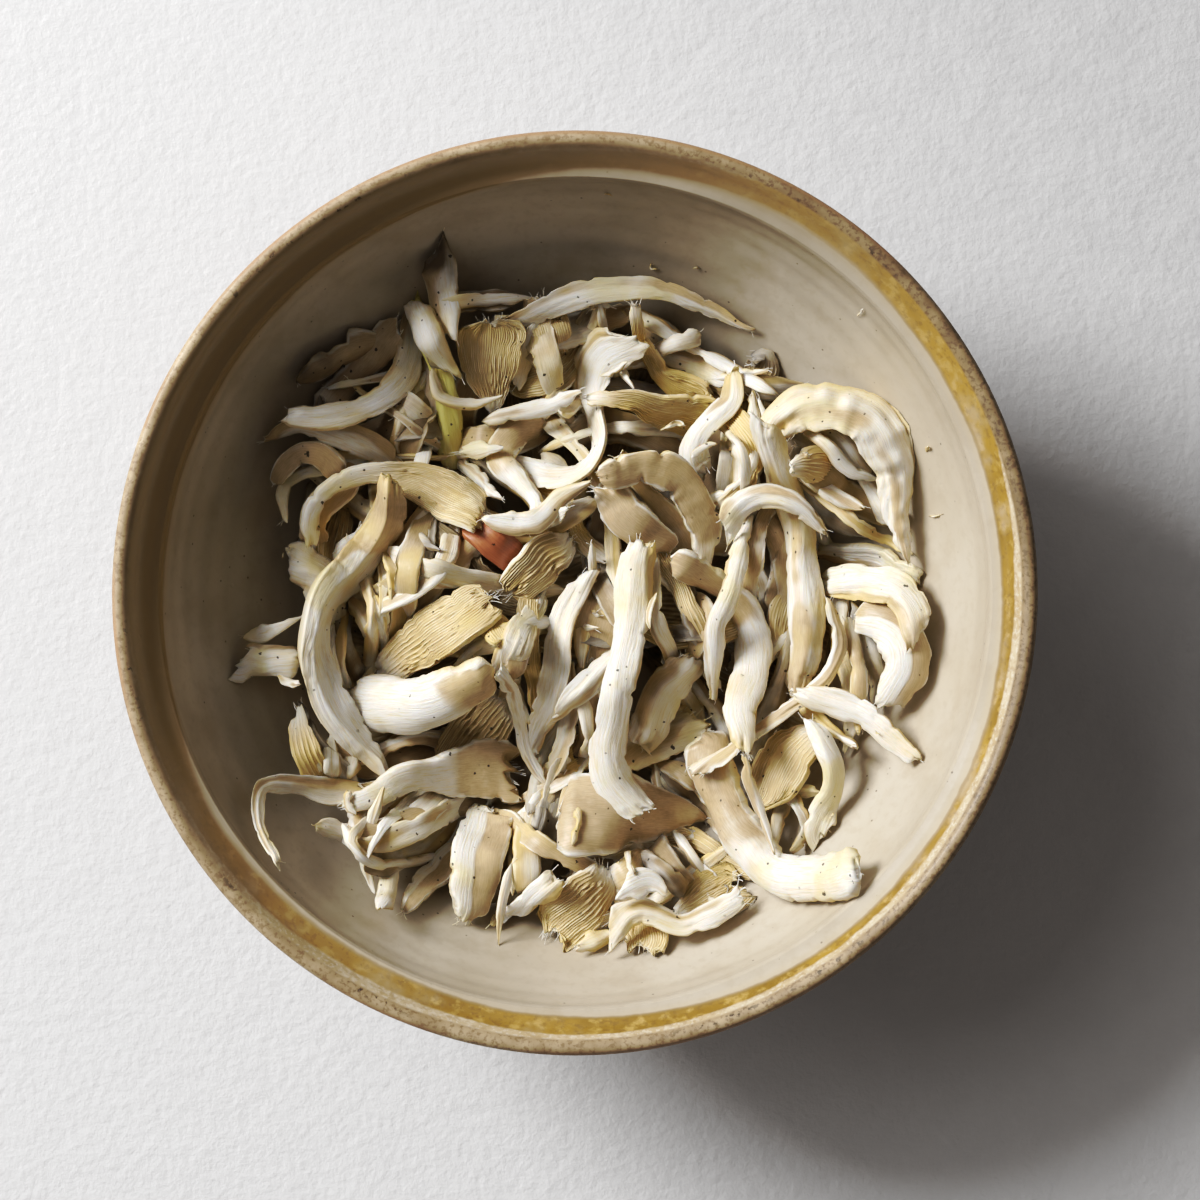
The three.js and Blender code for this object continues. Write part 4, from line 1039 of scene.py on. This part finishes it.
# Painted shade: the floor darkens towards the far right corner
SHADE_WAY = (0.7, 0.7, 0)
dull = shade.node("ShaderNodeVectorMath", {"operation": "DOT_PRODUCT"}, {0: place, 1: SHADE_WAY}, out=1)
tone = dull.step(0.03, 0.22).mix((0.74, 0.74, 0.745), (0.56, 0.56, 0.565))
feed(shader, "Base Color", (place.noise(90, 4).step(0.3, 0.7) * 0.15).mix(tone, (0.85, 0.85, 0.85)))
shader.inputs["Roughness"].default_value = 0.8
grain = place.noise(330, 4, roughness=0.6) + place.noise(90, 3) * 0.8
feed(shader, "Normal", grain.bump(0.34, 1.2 * MM))
floor_mesh.materials.append(plaster)

LIGHT_FROM, LIGHT_UP, LIGHT_AWAY = math.radians(149), math.radians(35), 2.0
LIGHTS = (("key", 0.8, 50), ("key_surround", 2.2, 17))  # with the width of each disc, and its watts
aside = math.cos(LIGHT_UP)
towards_light = Vector((aside * math.cos(LIGHT_FROM), aside * math.sin(LIGHT_FROM), math.sin(LIGHT_UP)))
for name, across, watts in LIGHTS:
    light = bpy.data.lights.new(name, "AREA")
    light.shape, light.size, light.energy = "DISK", across, watts
    light_object = bpy.data.objects.new(name, light)
    light_object.location = towards_light * LIGHT_AWAY
    light_object.rotation_mode = "QUATERNION"
    light_object.rotation_quaternion = towards_light.to_track_quat("Z", "Y")
    bpy.context.scene.collection.objects.link(light_object)
world = bpy.data.worlds.new("room")
world.use_nodes = True
fill = world.node_tree.nodes["Background"]
fill.inputs["Color"].default_value = (1, 0.92, 0.86, 1)
fill.inputs["Strength"].default_value = 0.12
bpy.context.scene.world = world

# The picture has more contrast than the light: darks deepen, middle tones lift and whites stay off full.
TONES = [
    (0.015, 0.008), (0.045, 0.03), (0.1, 0.083), (0.2, 0.228), (0.46, 0.513), (0.75, 0.77), (0.92, 0.885),
]
WHITEST = (1, 0.95)
view = bpy.context.scene.view_settings
view.view_transform = "Standard"
view.use_curve_mapping = True
all_colours = view.curve_mapping.curves[3]
for tone in TONES:
    all_colours.points.new(*tone)
all_colours.points[-1].location = WHITEST
view.curve_mapping.update()

CAMERA_AWAY, FRAME_WIDTH = 0.9, 0.2975  # from the rim, and across the picture at the rim
CAMERA_ACROSS = (0.00625, -0.00175)
camera = bpy.data.cameras.new("camera")
camera.lens = camera.sensor_width * CAMERA_AWAY / FRAME_WIDTH
camera_object = bpy.data.objects.new("camera", camera)
camera_object.location = (*CAMERA_ACROSS, BOWL_HEIGHT * MM + CAMERA_AWAY)
bpy.context.scene.collection.objects.link(camera_object)
bpy.context.scene.camera = camera_object
